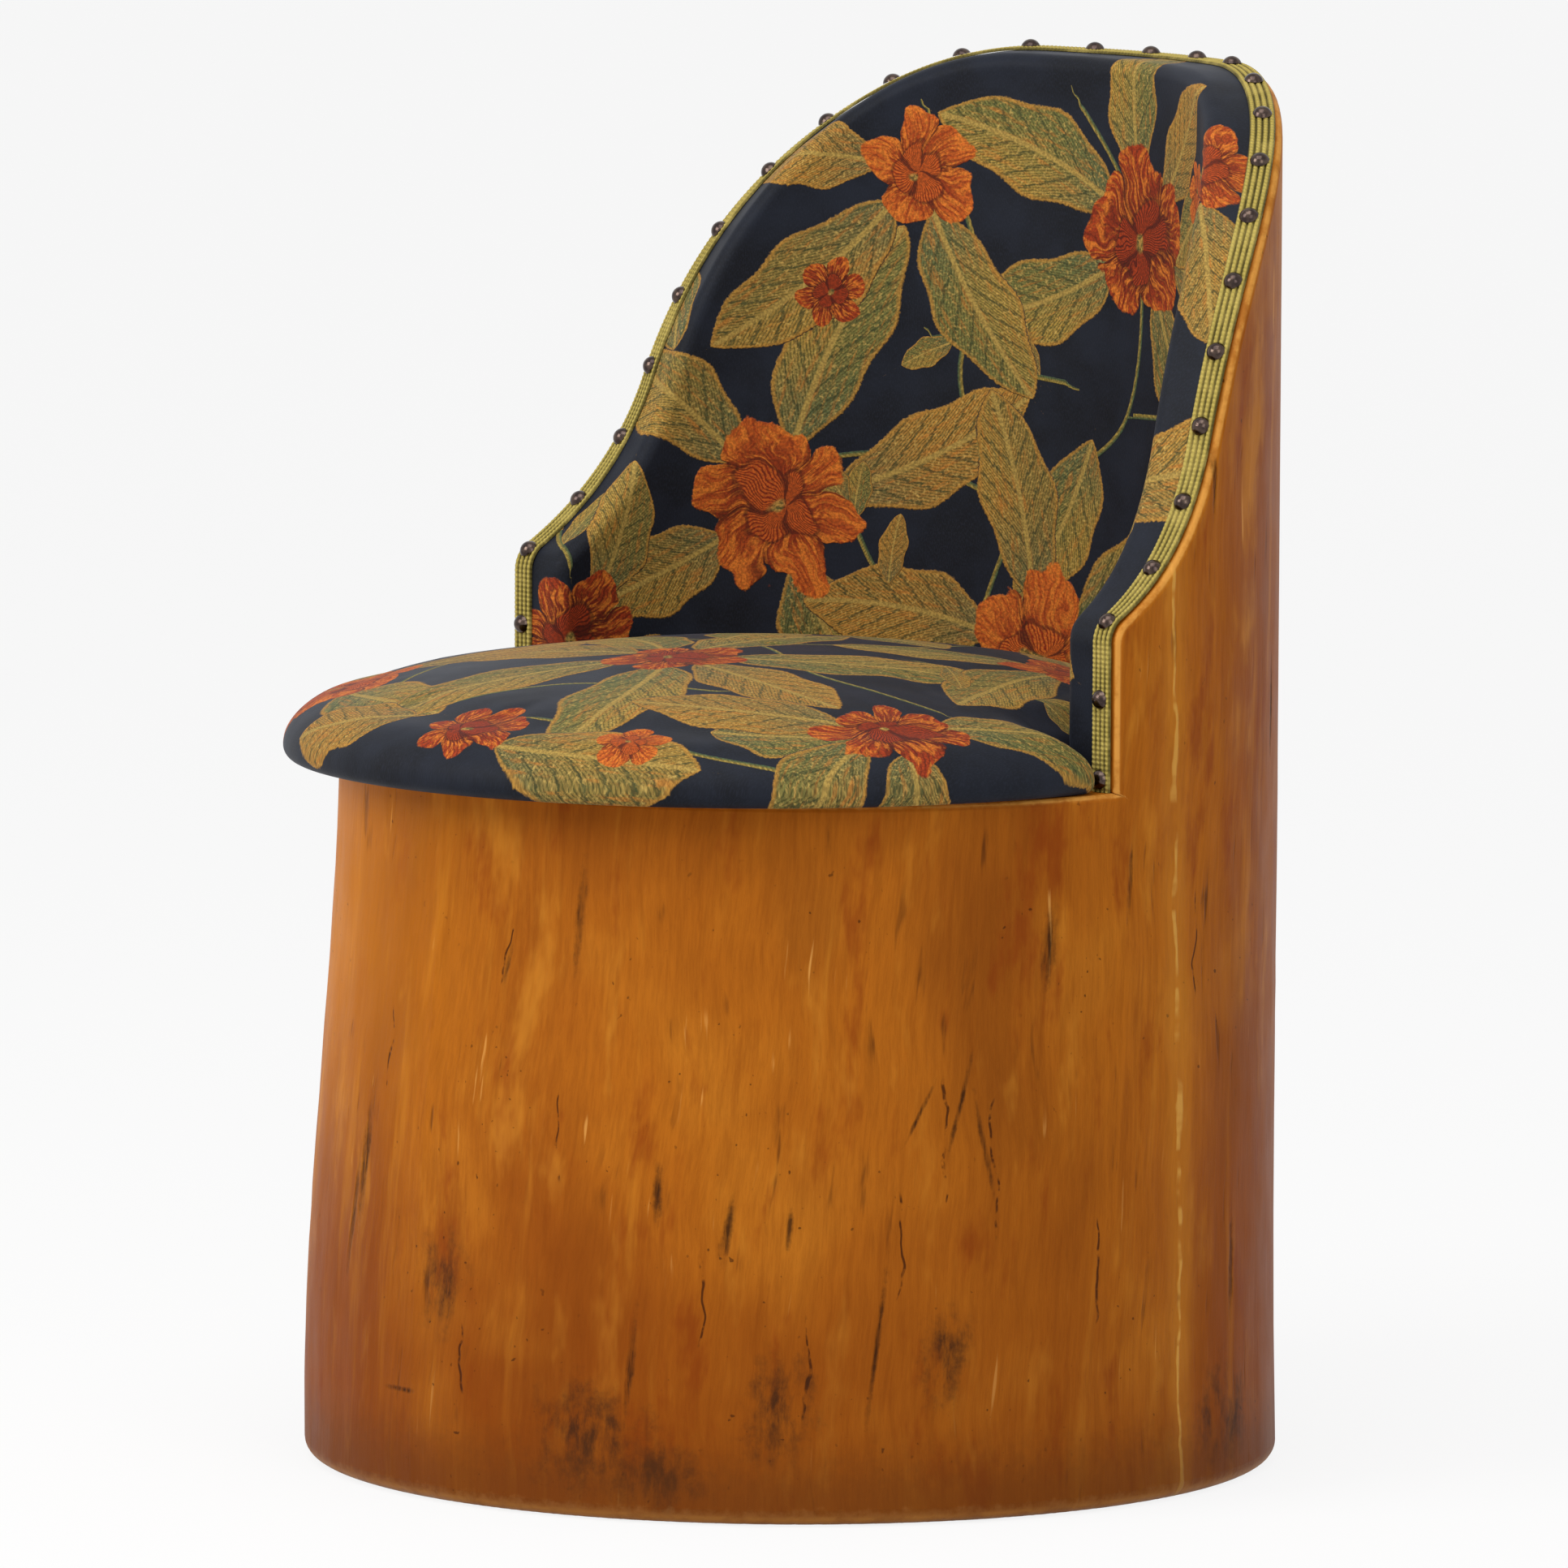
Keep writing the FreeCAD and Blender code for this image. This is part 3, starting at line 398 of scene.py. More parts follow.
def braid_cord():
    """Yellow-green gimp: rayon cords, with painted shade in the grooves between them and in the twist of
    their plies, and painted highlights scattered by noise.
    """
    n = Nodes("braid_cord")
    along, across = n.uv("cloth")
    cord = n.math("FRACT", across * CORDS)
    crown = n.sine(cord * math.pi)
    ply = n.sine(along * (2 * math.pi / TWIST) + cord * PLY_LEAN)
    x, y, z = n.place()
    place = n.vector(x, y, z)
    # Painted shade: each cord darkens from its crown into the grooves between the cords
    colour = n.tint(srgb(78, 68, 26), srgb(182, 162, 80), crown, 0.25, 0.95)
    # Painted shade in the low parts of each ply's twist
    colour = n.tint(colour, srgb(98, 88, 36), ply, -0.9, 0.3, 0.3, 0.0)
    # Painted highlights: lighter patches scattered by noise
    tone = n.noise(place, 60, 3, 0.6)
    colour = n.tint(colour, srgb(206, 184, 102), tone, 0.4, 0.7, 0, 0.4)
    fibre = n.noise(place, 1500, 3, 0.7)
    colour = n.tint(colour, srgb(112, 104, 44), fibre, 0.35, 0.6, 0.3, 0.0)
    height = ply * 0.5 + fibre
    normal = n.bump(height, 0.0004, 0.7)
    return n.finish(colour, 0.62, normal, Specular_IOR_Level=0.15, Sheen_Weight=0.06,
                    Sheen_Roughness=0.4)


def floral_fabric():
    """Jacquard: a blue-black ground with leaves, stems and blossoms woven in gold, green and rust."""
    n = Nodes("floral_fabric")
    cx, cy = n.uv("cloth")
    cloth = n.vector(cx, cy, 0.0)
    thread = n.noise(n.vector(cx, cy * 0.35, 0.0), 1500, 2, 0.6)
    rough_edge = n.noise(cloth, 520, 2, 0.6) - 0.5
    tone = n.noise(cloth, 26, 3, 0.6)
    colour = n.tint(srgb(15, 17, 23), srgb(25, 29, 39), tone, 0.3, 0.7)
    colour = n.tint(colour, srgb(31, 35, 46), thread, 0.45, 0.65, 0, 0.5)

    def unpack(layer):
        """A motif's own coordinates and its number, kept together in one map."""
        u, v = n.uv(layer)
        index = n.math("FLOOR", u / MAP_STEP)
        u = u - index * MAP_STEP - MAP_SHIFT
        return u, v, index

    # Stems
    u, v = unpack("stem")[:2]
    stem = n.fall(abs(v) + rough_edge * 0.5, 0.75, 1.05)
    ply = n.sine((u + v * 0.01) * 330.0)
    stem_colour = n.tint(srgb(74, 96, 66), srgb(164, 140, 66), v, -0.7, 0.5)
    stem_colour = n.tint(stem_colour, srgb(78, 72, 34), ply, -0.4, 0.8, 0.45, 0.0)
    colour = n.mix(stem, colour, stem_colour)

    # Leaves: u runs from stalk to tip, v is 1 at the widest; the layers lie one over another
    u, v, index, inside = 0.0, 0.0, 0.0, -1.0
    for layer in LEAF_LAYERS:
        here_u, here_v, here_index = unpack(layer)
        span = here_u * (1.0 - here_u) * 4.0
        wave = 0.92 + n.sine(here_u * 17.0 + here_index * 1.7) * 0.07
        wide = n.math("POWER", n.most(span, 0.0), LEAF_POWER) * wave
        here = wide - abs(here_v) + rough_edge * 0.1
        over = n.math("GREATER_THAN", here, 0.0)
        u = n.math("MULTIPLY_ADD", over, here_u - u, u)
        v = n.math("MULTIPLY_ADD", over, here_v - v, v)
        index = n.math("MULTIPLY_ADD", over, here_index - index, index)
        inside = n.math("MULTIPLY_ADD", over, here - inside, inside)
    off = abs(v)
    leaf = n.ramp(inside, 0.0, 0.04)
    warm = n.math("FRACT", index * 0.37)
    body = n.tint(srgb(112, 112, 60), srgb(166, 136, 62), v, -0.55, 0.65)
    body = n.tint(body, srgb(188, 130, 54), warm, 0.3, 1.0, 0, 0.65)
    body = n.tint(body, srgb(66, 92, 72), u, 0.05, 0.5, 0.6, 0.0)
    stroke = u * 230.0 + off * -95.0
    stroke = n.sine(stroke + n.noise(cloth, 120, 3, 0.6) * 11.0)
    body = n.tint(body, srgb(74, 72, 34), stroke, -0.1, 0.9, 0.0, 0.72)
    gleam = n.noise(n.vector(u * 60.0, v * 12.0, index), 1.0, 3, 0.6)
    body = n.tint(body, srgb(204, 170, 92), gleam, 0.48, 0.70, 0, 0.7)
    streak = n.noise(n.vector(u * 5.0, v * 9.0, index), 1.0, 4, 0.7)
    body = n.tint(body, srgb(196, 120, 46), streak, 0.50, 0.66, 0, 0.55)
    body = n.tint(body, srgb(86, 98, 56), streak, 0.30, 0.44, 0.4, 0.0)
    bent = u - off * 0.3 + streak * 0.12
    vein = abs(n.math("FRACT", bent * 8.0) - 0.5)
    body = n.tint(body, srgb(54, 64, 38), vein, 0.03, 0.11, 0.7, 0.0)
    rib = n.fall(off, 0.03, 0.075, 0.9)
    body = n.mix(rib, body, srgb(176, 146, 74))
    body = n.tint(body, srgb(182, 132, 56), inside, 0.05, 0.13, 0.75, 0.0)
    colour = n.mix(leaf, colour, body)

    # Blossoms: two rings of petals about an eye
    u, v, index = unpack("bloom")
    sway = n.sine(index * 2.3)
    u = u + (n.noise(cloth, 24, 2, 0.5) - 0.5) * 0.9
    v = v + (n.noise(n.vector(cy, cx, 3.0), 24, 2, 0.5) - 0.5) * 0.9
    shifted = u - sway * 0.12
    far = n.hypot(u, v)
    turn = n.math("ARCTAN2", v, shifted)
    crinkle = (n.noise(cloth, 75, 3, 0.6) - 0.5) * 0.5
    petals = 2.5 + n.math("MODULO", index, 3.0) * 0.5
    curl = crinkle + far * (sway * 0.7)
    petal = abs(n.math("COSINE", turn * petals + curl))
    reach = 0.62 + n.math("POWER", petal, 0.55) * 0.34
    bloom = n.ramp(reach - far + rough_edge * 0.06 + crinkle * 0.22, 0.0, 0.03)
    hot = n.math("FRACT", index * 0.61)
    red = n.tint(srgb(92, 28, 17), srgb(146, 48, 18), hot, 0.2, 0.9)
    gold = n.tint(srgb(160, 58, 24), srgb(206, 104, 36), hot, 0.2, 0.9)
    tint = n.tint(red, gold, far / reach, 0.25, 0.95)
    tint = n.tint(tint, srgb(70, 22, 14), petal, 0.05, 0.55, 0.85, 0.0)
    stroke = n.sine(turn * 62.0 + n.noise(cloth, 90, 3, 0.6) * 16.0)
    tint = n.mix(n.ramp(stroke, 0.0, 0.9, 0.0, 0.6), tint, red)
    gleam = n.noise(n.vector(turn * 9.0, far * 3.0, index), 1.4, 3, 0.6)
    tint = n.tint(tint, srgb(222, 126, 44), gleam, 0.46, 0.62, 0, 0.8)
    inner = abs(n.math("COSINE", turn * 2.0 + 0.8))
    ring = 0.34 + inner * 0.14 + crinkle * 0.2
    core = ring - far
    deep = n.tint(gold, red, stroke, -0.4, 0.9)
    deep = n.tint(deep, srgb(70, 22, 16), inner, 0.15, 0.5, 0.8, 0.0)
    tint = n.tint(tint, deep, core, 0.0, 0.03)
    tint = n.mix(n.fall(abs(core), 0.01, 0.035, 0.55), tint, srgb(66, 22, 16))
    eye = n.fall(far + crinkle * 0.25, 0.05, 0.11, 0.8)
    seeds = n.ramp(n.noise(cloth, 330, 2, 0.6), 0.4, 0.6)
    tint = n.mix(eye, tint, n.mix(seeds, srgb(84, 92, 48), srgb(196, 158, 78)))
    colour = n.mix(bloom, colour, tint)

    woven = n.most(leaf, bloom, stem)
    grit = n.noise(cloth, 640, 2, 0.6)
    colour = n.mix(n.fall(grit, 0.4, 0.62, 0.42) * woven, colour, srgb(34, 26, 16))
    soft = n.noise(cloth, 16, 2, 0.5)
    normal = n.bump(soft, 0.006, 0.35)
    height = woven * 0.5 + thread * 0.25 + grit * woven * 0.6
    normal = n.bump(height, 0.0006, 0.65, normal)
    rough = 0.56 + woven * 0.12
    return n.finish(colour, rough, normal, Specular_IOR_Level=0.12, Sheen_Weight=0.06,
                    Sheen_Roughness=0.35, Sheen_Tint=(0.62, 0.68, 0.85, 1.0))


def edge_runs():
    """The back's edge rolled out flat, as in the CAD, from the ledge to the rear's middle."""
    upright = Vector((0.0, LEDGE + RISE))
    shoulder = upright + Vector((SHOULDER, 0.0))
    sweep_end = Vector((SWEEP_BACK, upright.y + SWEEP_RISE))
    bow_end = Vector((BOW_BACK, TOP - BOW_DROP))
    across = sweep_end - shoulder
    reach = SWEEP + SHOULDER
    along = (across.length ** 2 + reach ** 2 - SWEEP ** 2) / (2 * across.length)
    aside = math.sqrt(reach ** 2 - along ** 2)
    unit = across.normalized()
    sweep = shoulder + unit * along + Vector((-unit.y, unit.x)) * aside
    shoulder_end = shoulder + (sweep - shoulder) * (SHOULDER / reach)
    way = (sweep_end - sweep) / SWEEP
    chord = bow_end - sweep_end
    bow_radius = chord.length_squared / (2 * chord.dot(way))
    bow = sweep_end + way * bow_radius
    bow_way = (bow_end - bow) / bow_radius
    crest_radius = (TOP - bow_end.y) / (1 - bow_way.y)
    crest = bow_end - bow_way * crest_radius
    crest_end = crest + Vector((0.0, crest_radius))
    rear = Vector((LOG_R * math.pi / 2, TOP))
    return [
        ("line", Vector((0.0, LEDGE)), upright, Vector((-1.0, 0.0))),
        ("arc", shoulder, SHOULDER, upright, shoulder_end, 1),
        ("arc", sweep, SWEEP, shoulder_end, sweep_end, -1),
        ("arc", bow, bow_radius, sweep_end, bow_end, 1),
        ("arc", crest, crest_radius, bow_end, crest_end, 1),
        ("line", crest_end, rear, Vector((0.0, 1.0))),
    ]


def edge_path(out, pitch):
    """Points of the flat edge line, moved out from the wood: (point, inward), by run."""
    rows = []
    for run in edge_runs():
        row = []
        if run[0] == "line":
            start, end, outward = run[1:]
            count = max(2, math.ceil((end - start).length / pitch))
            for step in range(count + 1):
                row.append((start.lerp(end, step / count) + outward * out, -outward))
        else:
            centre, radius, start, end, bulge = run[1:]
            first = math.atan2(start.y - centre.y, start.x - centre.x)
            last = math.atan2(end.y - centre.y, end.x - centre.x)
            while last - first > math.pi:
                last -= 2 * math.pi
            while last - first < -math.pi:
                last += 2 * math.pi
            count = max(2, math.ceil(abs(last - first) * radius / pitch))
            for step in range(count + 1):
                angle = first + (last - first) * step / count
                ray = Vector((math.cos(angle), math.sin(angle)))
                row.append((centre + ray * (radius + bulge * out), ray * -bulge))
        rows.append(row)
    return rows


def wrap(point, radius, mirror):
    """A flat point bent round the log's axis at a radius, on the right or, mirrored, on the left."""
    side = -1 if mirror else 1
    if point[0] < 0:
        return Vector((side * radius, AXIS + point[0], point[1]))
    turn = point[0] / LOG_R
    return Vector((side * radius * math.cos(turn), AXIS + radius * math.sin(turn), point[1]))


def mesh_object(name, verts, faces, material, smooth=True):
    mesh = bpy.data.meshes.new(name)
    mesh.from_pydata([tuple(vert) for vert in verts], [], faces)
    mesh.validate()
    mesh.materials.append(material)
    mesh.polygons.foreach_set("use_smooth", [smooth] * len(mesh.polygons))
    obj = bpy.data.objects.new(name, mesh)
    scene.collection.objects.link(obj)
    return obj


def outward(obj):
    """Turn a closed mesh's faces outward."""
    work = bmesh.new()
    work.from_mesh(obj.data)
    bmesh.ops.recalc_face_normals(work, faces=work.faces)
    work.to_mesh(obj.data)
    work.free()


def close_shell(faces, count):
    """Faces of a closed shell: the front ones, the same reversed behind, and a rim between them."""
    seen = {}
    for face in faces:
        for start, end in zip(face, face[1:] + face[:1]):
            key = (min(start, end), max(start, end))
            seen[key] = None if key in seen else (start, end)
    shell = [list(face) for face in faces]
    shell += [[vert + count for vert in reversed(face)] for face in faces]
    for pair in seen.values():
        if pair:
            start, end = pair
            shell.append([end, start, start + count, end + count])
    return shell


def read_all(items, name, width, kind=np.float64):
    """One property of all of a mesh's vertices, corners or faces."""
    values = np.empty(len(items) * width, dtype=kind)
    items.foreach_get(name, values)
    return values.reshape(-1, width) if width > 1 else values


def by_corner(mesh, values):
    """Values by vertex, repeated for each face corner."""
    return np.asarray(values, dtype=float)[read_all(mesh.loops, "vertex_index", 1, np.int64)]


def write_map(mesh, name, values):
    """A UV map from values by face corner."""
    layer = mesh.uv_layers.new(name=name)
    layer.data.foreach_set("uv", values.astype(np.float32).ravel())


def band_faces(rows, size):
    """Faces between rows of points, where each row runs once round."""
    faces = []
    for row in range(rows - 1):
        here = row * size
        for step in range(size):
            after = (step + 1) % size
            faces.append([here + step, here + after, here + size + after, here + size + step])
    return faces


def there_and_back(half):
    """The places along the edge, from the right end to the left: (index, mirrored)."""
    right = [(index, False) for index in range(half)]
    return right + [(index, True) for index in range(half - 2, -1, -1)]


# A motif's map keeps u + MAP_SHIFT + MAP_STEP * the motif's number
LEAF_LAYERS = ("leaf_low", "leaf_mid", "leaf_high")
MAP_SHIFT = 1.5
MAP_STEP = 4.0
LEAF_POWER = 0.78
STEM_HALF = 0.0016
MOTIF_PITCH = 0.006


# Motifs are given in millimetres on the rolled-out cloth, with angles in degrees
def leaf_at(x, y, angle, length, half, bend):
    return ("leaf", x / 1000, y / 1000, math.radians(angle), length / 1000, half / 1000, bend)


def bloom_at(x, y, radius, angle):
    return ("bloom", x / 1000, y / 1000, math.radians(angle), radius / 1000)


def stem_through(*points):
    return ("stem", [(x / 1000, y / 1000) for x, y in points])


def curve_points(points, count=120):
    """A smooth line through a stem's points."""
    knots = np.array(points, dtype=float)
    marks = np.linspace(0, len(knots) - 1, count)
    result = np.empty((count, 2))
    for row, mark in enumerate(marks):
        seg = min(int(mark), len(knots) - 2)
        t = mark - seg
        before = knots[max(seg - 1, 0)]
        here = knots[seg]
        there = knots[seg + 1]
        after = knots[min(seg + 2, len(knots) - 1)]
        square = 2 * before - 5 * here + 4 * there - after
        cube = 3 * here - before - 3 * there + after
        result[row] = 0.5 * (2 * here + (there - before) * t + square * t ** 2 + cube * t ** 3)
    return result


def lay_motifs(mesh, flat, motifs):
    """Write each motif's own coordinates to the faces it covers, a map for each kind of motif."""
    starts = read_all(mesh.polygons, "loop_start", 1, np.int64)
    totals = read_all(mesh.polygons, "loop_total", 1, np.int64)
    flat = by_corner(mesh, flat)
    write_map(mesh, "cloth", flat)
    empty = np.tile(np.array([0.2, 9.0]), (len(flat), 1))
    maps = {kind: empty.copy() for kind in (*LEAF_LAYERS, "bloom", "stem")}
    used = {kind: np.zeros(len(flat), dtype=bool) for kind in maps}
    nearest = np.full(len(starts), 9.0)
    numbers = {"leaf": 0, "bloom": 0, "stem": 0}
    for motif in motifs:
        kind = motif[0]
        if kind == "stem":
            line = curve_points(motif[1])
            u = np.zeros(len(flat))
            v = np.full(len(flat), 99.0)
            for row in range(len(line) - 1):
                step = line[row + 1] - line[row]
                size = np.hypot(*step)
                rel = flat - line[row]
                t = np.clip(rel @ step / size ** 2, 0, 1)
                foot = rel - t[:, None] * step
                off = (step[0] * foot[:, 1] - step[1] * foot[:, 0]) / size
                far = np.hypot(foot[:, 0], foot[:, 1])
                closer = far < np.abs(v)
                u[closer] = (row + t[closer]) / len(line)
                v[closer] = (np.sign(off) * far)[closer]
            touched = np.abs(v) < STEM_HALF + MOTIF_PITCH
            v = v / STEM_HALF
        else:
            x, y, angle, size = motif[1:5]
            rel = flat - np.array([x, y])
            along = rel[:, 0] * math.cos(angle) + rel[:, 1] * math.sin(angle)
            across = rel[:, 1] * math.cos(angle) - rel[:, 0] * math.sin(angle)
            u = along / size
            if kind == "leaf":
                half, bend = motif[5:]
                v = (across - bend * size * np.clip(u, 0, 2) ** 2) / half
                span = np.clip(4 * u * (1 - u), 0, 1) ** LEAF_POWER
                spare = MOTIF_PITCH / size
                touched = (np.abs(v) < span + MOTIF_PITCH / half) & (u > -spare) & (u < 1 + spare)
            else:
                v = across / size
                touched = np.hypot(u, v) < 1.2 + MOTIF_PITCH / size
        face_touched = np.logical_or.reduceat(touched, starts)
        layer = kind
        if kind == "stem":
            close = np.add.reduceat(np.abs(v), starts) / totals
            face_touched &= close < nearest
            nearest[face_touched] = close[face_touched]
        chosen = np.repeat(face_touched, totals)
        if kind == "leaf":
            free = [name for name in LEAF_LAYERS if not np.any(used[name] & chosen)]
            if not free:
                continue
            layer = free[0]
        used[layer] |= chosen
        u = np.clip(u, -1.45, 2.4)
        maps[layer][chosen, 0] = u[chosen] + MAP_SHIFT + MAP_STEP * numbers[kind]
        maps[layer][chosen, 1] = v[chosen]
        numbers[kind] += 1
    for kind, values in maps.items():
        write_map(mesh, kind, values)


def away_from(x, y, reach, way):
    """The point at a reach from another, by an angle in radians."""
    return (x + reach * math.cos(way), y + reach * math.sin(way))


def spray(x, y, radius, turn, leaves):
    """A blossom with leaves out from behind it: (angle, length, half width, bend)."""
    found = []
    for leaf in leaves:
        found.append(leaf_at(*away_from(x, y, 0.62 * radius, math.radians(leaf[0])), *leaf))
    found.append(bloom_at(x, y, radius, turn))
    return found


def sprig(x, y, angle, length, count, half=9, spread=34):
    """A thin stalk with small leaves on either side by turns."""
    way = math.radians(angle)
    tip = away_from(x, y, length, way)
    middle = away_from(x, y, 0.5 * length, way + 0.12)
    found = [stem_through((x, y), middle, tip)]
    for number in range(count):
        share = (number + 1) / (count + 0.4)
        side = 1 if number % 2 else -1
        base = away_from(x, y, share * length, way + 0.12 * (1 - share))
        size = 32 + 12 * (1 - share)
        found.append(leaf_at(*base, angle + side * spread, size, half, 0.1 * side))
    found.append(leaf_at(*tip, angle, 34, half, 0.05))
    return found


def back_motifs():
    """The back's own arrangement: x from the middle of the rear towards the right wing, y the height."""
    found = [
        stem_through((-100, 400), (-60, 500), (20, 560), (30, 660), (-20, 730)),
        stem_through((20, 560), (100, 570), (160, 620), (180, 690)),
        stem_through((-60, 500), (-140, 530), (-210, 520)),
        stem_through((130, 400), (130, 470), (180, 510), (250, 530)),
        stem_through((-300, 400), (-290, 460), (-320, 500)),
        stem_through((-120, 720), (-90, 640), (-100, 570), (-70, 490)),
    ]
    found += spray(35, 660, 50, 20, (
        (150, 130, 29, 0.16), (100, 100, 26, -0.14), (-15, 120, 28, 0.18), (210, 120, 27, -0.2),
        (-65, 120, 28, 0.2), (45, 90, 25, 0.1)))
    found += spray(-205, 500, 52, -8, (
        (75, 140, 30, -0.2), (130, 110, 28, 0.18), (15, 130, 28, 0.2), (-70, 100, 28, 0.15),
        (-150, 90, 26, -0.1)))
    found += spray(220, 500, 52, 30, (
        (100, 130, 29, 0.2), (165, 130, 29, -0.2), (40, 120, 28, 0.1), (-100, 100, 26, 0.1),
        (-20, 100, 26, -0.1)))
    found += spray(-50, 420, 50, 12, (
        (160, 110, 27, 0.2), (35, 150, 31, -0.22), (95, 120, 27, 0.15), (0, 110, 26, 0.12)))
    found += spray(175, 705, 40, 50, (
        (200, 90, 24, 0.2), (-30, 90, 24, -0.2), (-85, 100, 24, 0.1)))
    found += spray(-325, 430, 40, 5, (
        (60, 80, 22, 0.2), (-20, 80, 22, -0.2)))
    found += spray(-125, 690, 36, 40, (
        (-70, 120, 28, 0.2), (-130, 130, 29, -0.2), (170, 80, 22, 0.1)))
    found += [
        leaf_at(-10, 545, -110, 110, 27, -0.15), leaf_at(85, 560, -30, 110, 27, 0.20),
        leaf_at(110, 600, 45, 100, 26, -0.18), leaf_at(-265, 590, 100, 90, 24, 0.18),
        leaf_at(125, 440, 150, 85, 24, 0.2),
    ]
    for stalk in ((-30, 575, 165, 85, 4), (100, 535, -75, 100, 5), (-330, 470, 85, 60, 3),
                  (300, 420, 100, 80, 4), (-130, 440, 120, 70, 3)):
        found += sprig(*stalk)
    return found + [bloom_at(-175, 620, 22, 10), bloom_at(118, 690, 20, 60)]


def seat_motifs():
    """The seat's own arrangement, seen from above."""
    found = [
        stem_through((-200, 20), (-100, -30), (0, -20), (100, -60), (190, -50)),
        stem_through((0, -20), (40, 60), (0, 140)),
        stem_through((-20, -240), (20, -170), (100, -130)),
        stem_through((-100, -30), (-120, -120), (-90, -200)),
        stem_through((220, -160), (160, -200), (60, -220)),
    ]
    found += spray(10, -85, 44, 15, (
        (35, 150, 34, 0.16), (110, 130, 31, -0.15), (185, 130, 32, 0.2), (-50, 150, 34, -0.2),
        (-115, 150, 33, 0.18), (-10, 130, 30, 0.1), (150, 120, 29, 0.1)))
    found += spray(-160, -185, 50, 10, (
        (120, 120, 30, 0.15), (60, 130, 31, 0.2), (-25, 130, 31, 0.15), (-125, 80, 28, -0.15),
        (175, 90, 28, -0.15)))
    found += spray(205, -95, 40, -20, (
        (-75, 110, 30, 0.2), (-140, 120, 30, -0.15), (75, 120, 29, -0.2), (165, 110, 28, 0.1),
        (-20, 70, 26, 0.1)))
    found += spray(-100, 120, 45, 35, (
        (25, 130, 30, 0.2), (100, 100, 27, -0.2), (190, 120, 29, -0.15), (-70, 120, 30, 0.15),
        (-20, 120, 28, 0.1)))
    found += spray(120, 115, 45, 5, (
        (150, 100, 27, -0.2), (60, 90, 26, 0.2), (-75, 120, 30, 0.15), (-20, 100, 27, 0.1),
        (-130, 110, 28, -0.1)))
    found += [
        leaf_at(65, -255, 12, 120, 31, 0.22), leaf_at(-20, -240, 200, 90, 28, -0.18),
        leaf_at(-225, -60, 100, 100, 28, 0.15), leaf_at(-175, 85, 80, 85, 25, -0.2),
        leaf_at(150, -175, 35, 90, 27, 0.25), leaf_at(80, -240, 100, 80, 25, -0.2),
    ]
    for stalk in ((-215, 0, -20, 80, 4), (0, 185, 10, 70, 3), (90, 20, 10, 90, 4)):
        found += sprig(*stalk)
    return found + [bloom_at(35, -245, 34, 25), bloom_at(130, -215, 22, 70)]


def round_off(obj):
    """Smooth a cover's mesh, with the pattern kept as it lies."""
    smooth = obj.modifiers.new("round", "SUBSURF")
    smooth.levels = 1
    smooth.render_levels = 1
    smooth.uv_smooth = "NONE"


def make_lining(material):
    """The back's padded lining: a closed form with a rolled rim turned over the wood's edge."""
    roll = 0.0085
    hem_r = 0.2516
    behind_r = 0.2287
    foot = LEDGE + 0.0005
    profile = [(-FABRIC, r) for r in np.linspace(hem_r, LINING_R + roll, 6)[:-1]]
    behind = [(-0.0002, r) for r in np.linspace(hem_r, SHELL_R, 6)[:-1]]
    unrolled = [-roll * math.pi / 2 - (r - LINING_R - roll) for d, r in profile]
    arcs = 8
    for step in range(arcs + 1):
        turn = math.pi / 2 * step / arcs
        profile.append((-FABRIC + roll * (1 - math.cos(turn)), LINING_R + roll * (1 - math.sin(turn))))
        behind.append((0.0004 + roll * step / arcs * 0.8, behind_r))
        unrolled.append(-roll * (math.pi / 2 - turn))
    inner = -FABRIC + roll
    rows = edge_path(0.0, 0.0064)
    count = 48
    start, end = edge_runs()[0][1:3]
    first = [(start.lerp(end, step / count), Vector((1.0, 0.0))) for step in range(count + 1)]
    path = first + [item for row in rows[1:] for item in row[1:]]
    verts = []
    back = []
    flat = []
    quarter = LOG_R * math.pi / 2

    def add(point, radius, behind_point, behind_radius, mirror, spread):
        verts.append(wrap(point, radius, mirror))
        back.append(wrap(behind_point, behind_radius, mirror))
        side = (quarter - spread[0]) * LINING_R / LOG_R
        flat.append((-side if mirror else side, spread[1]))
        return len(verts) - 1

    order = there_and_back(len(path))
    strip = []
    for index, mirror in order:
        point, inward = path[index]
        line = []
        for (d, r), (bd, br), un in zip(profile, behind, unrolled):
            q = point + inward * d
            if index == 0:
                q = Vector((q.x, foot))
            line.append(add(q, r, point + inward * bd, br, mirror, point + inward * (inner + un)))
        strip.append(line)
    faces = []
    for one, two in zip(strip, strip[1:]):
        for step in range(len(one) - 1):
            faces.append([one[step], two[step], two[step + 1], one[step + 1]])
    grid = [[strip[index][-1] for index in range(count + 1)]]
    for place in range(count + 1, len(order) - count - 1):
        index, mirror = order[place]
        point, inward = path[index]
        top = point + inward * inner
        column = []
        for step in range(count):
            q = Vector((top.x, foot + (top.y - foot) * step / count))
            column.append(add(q, LINING_R, q, behind_r, mirror, q))
        column.append(strip[place][-1])
        grid.append(column)
    grid.append([strip[len(order) - 1 - index][-1] for index in range(count + 1)])
    for one, two in zip(grid, grid[1:]):
        for step in range(count):
            faces.append([one[step], one[step + 1], two[step + 1], two[step]])
    obj = mesh_object("back_lining", verts + back, close_shell(faces, len(verts)), material)
    outward(obj)
    lay_motifs(obj.data, flat + flat, back_motifs())
    round_off(obj)
    return obj


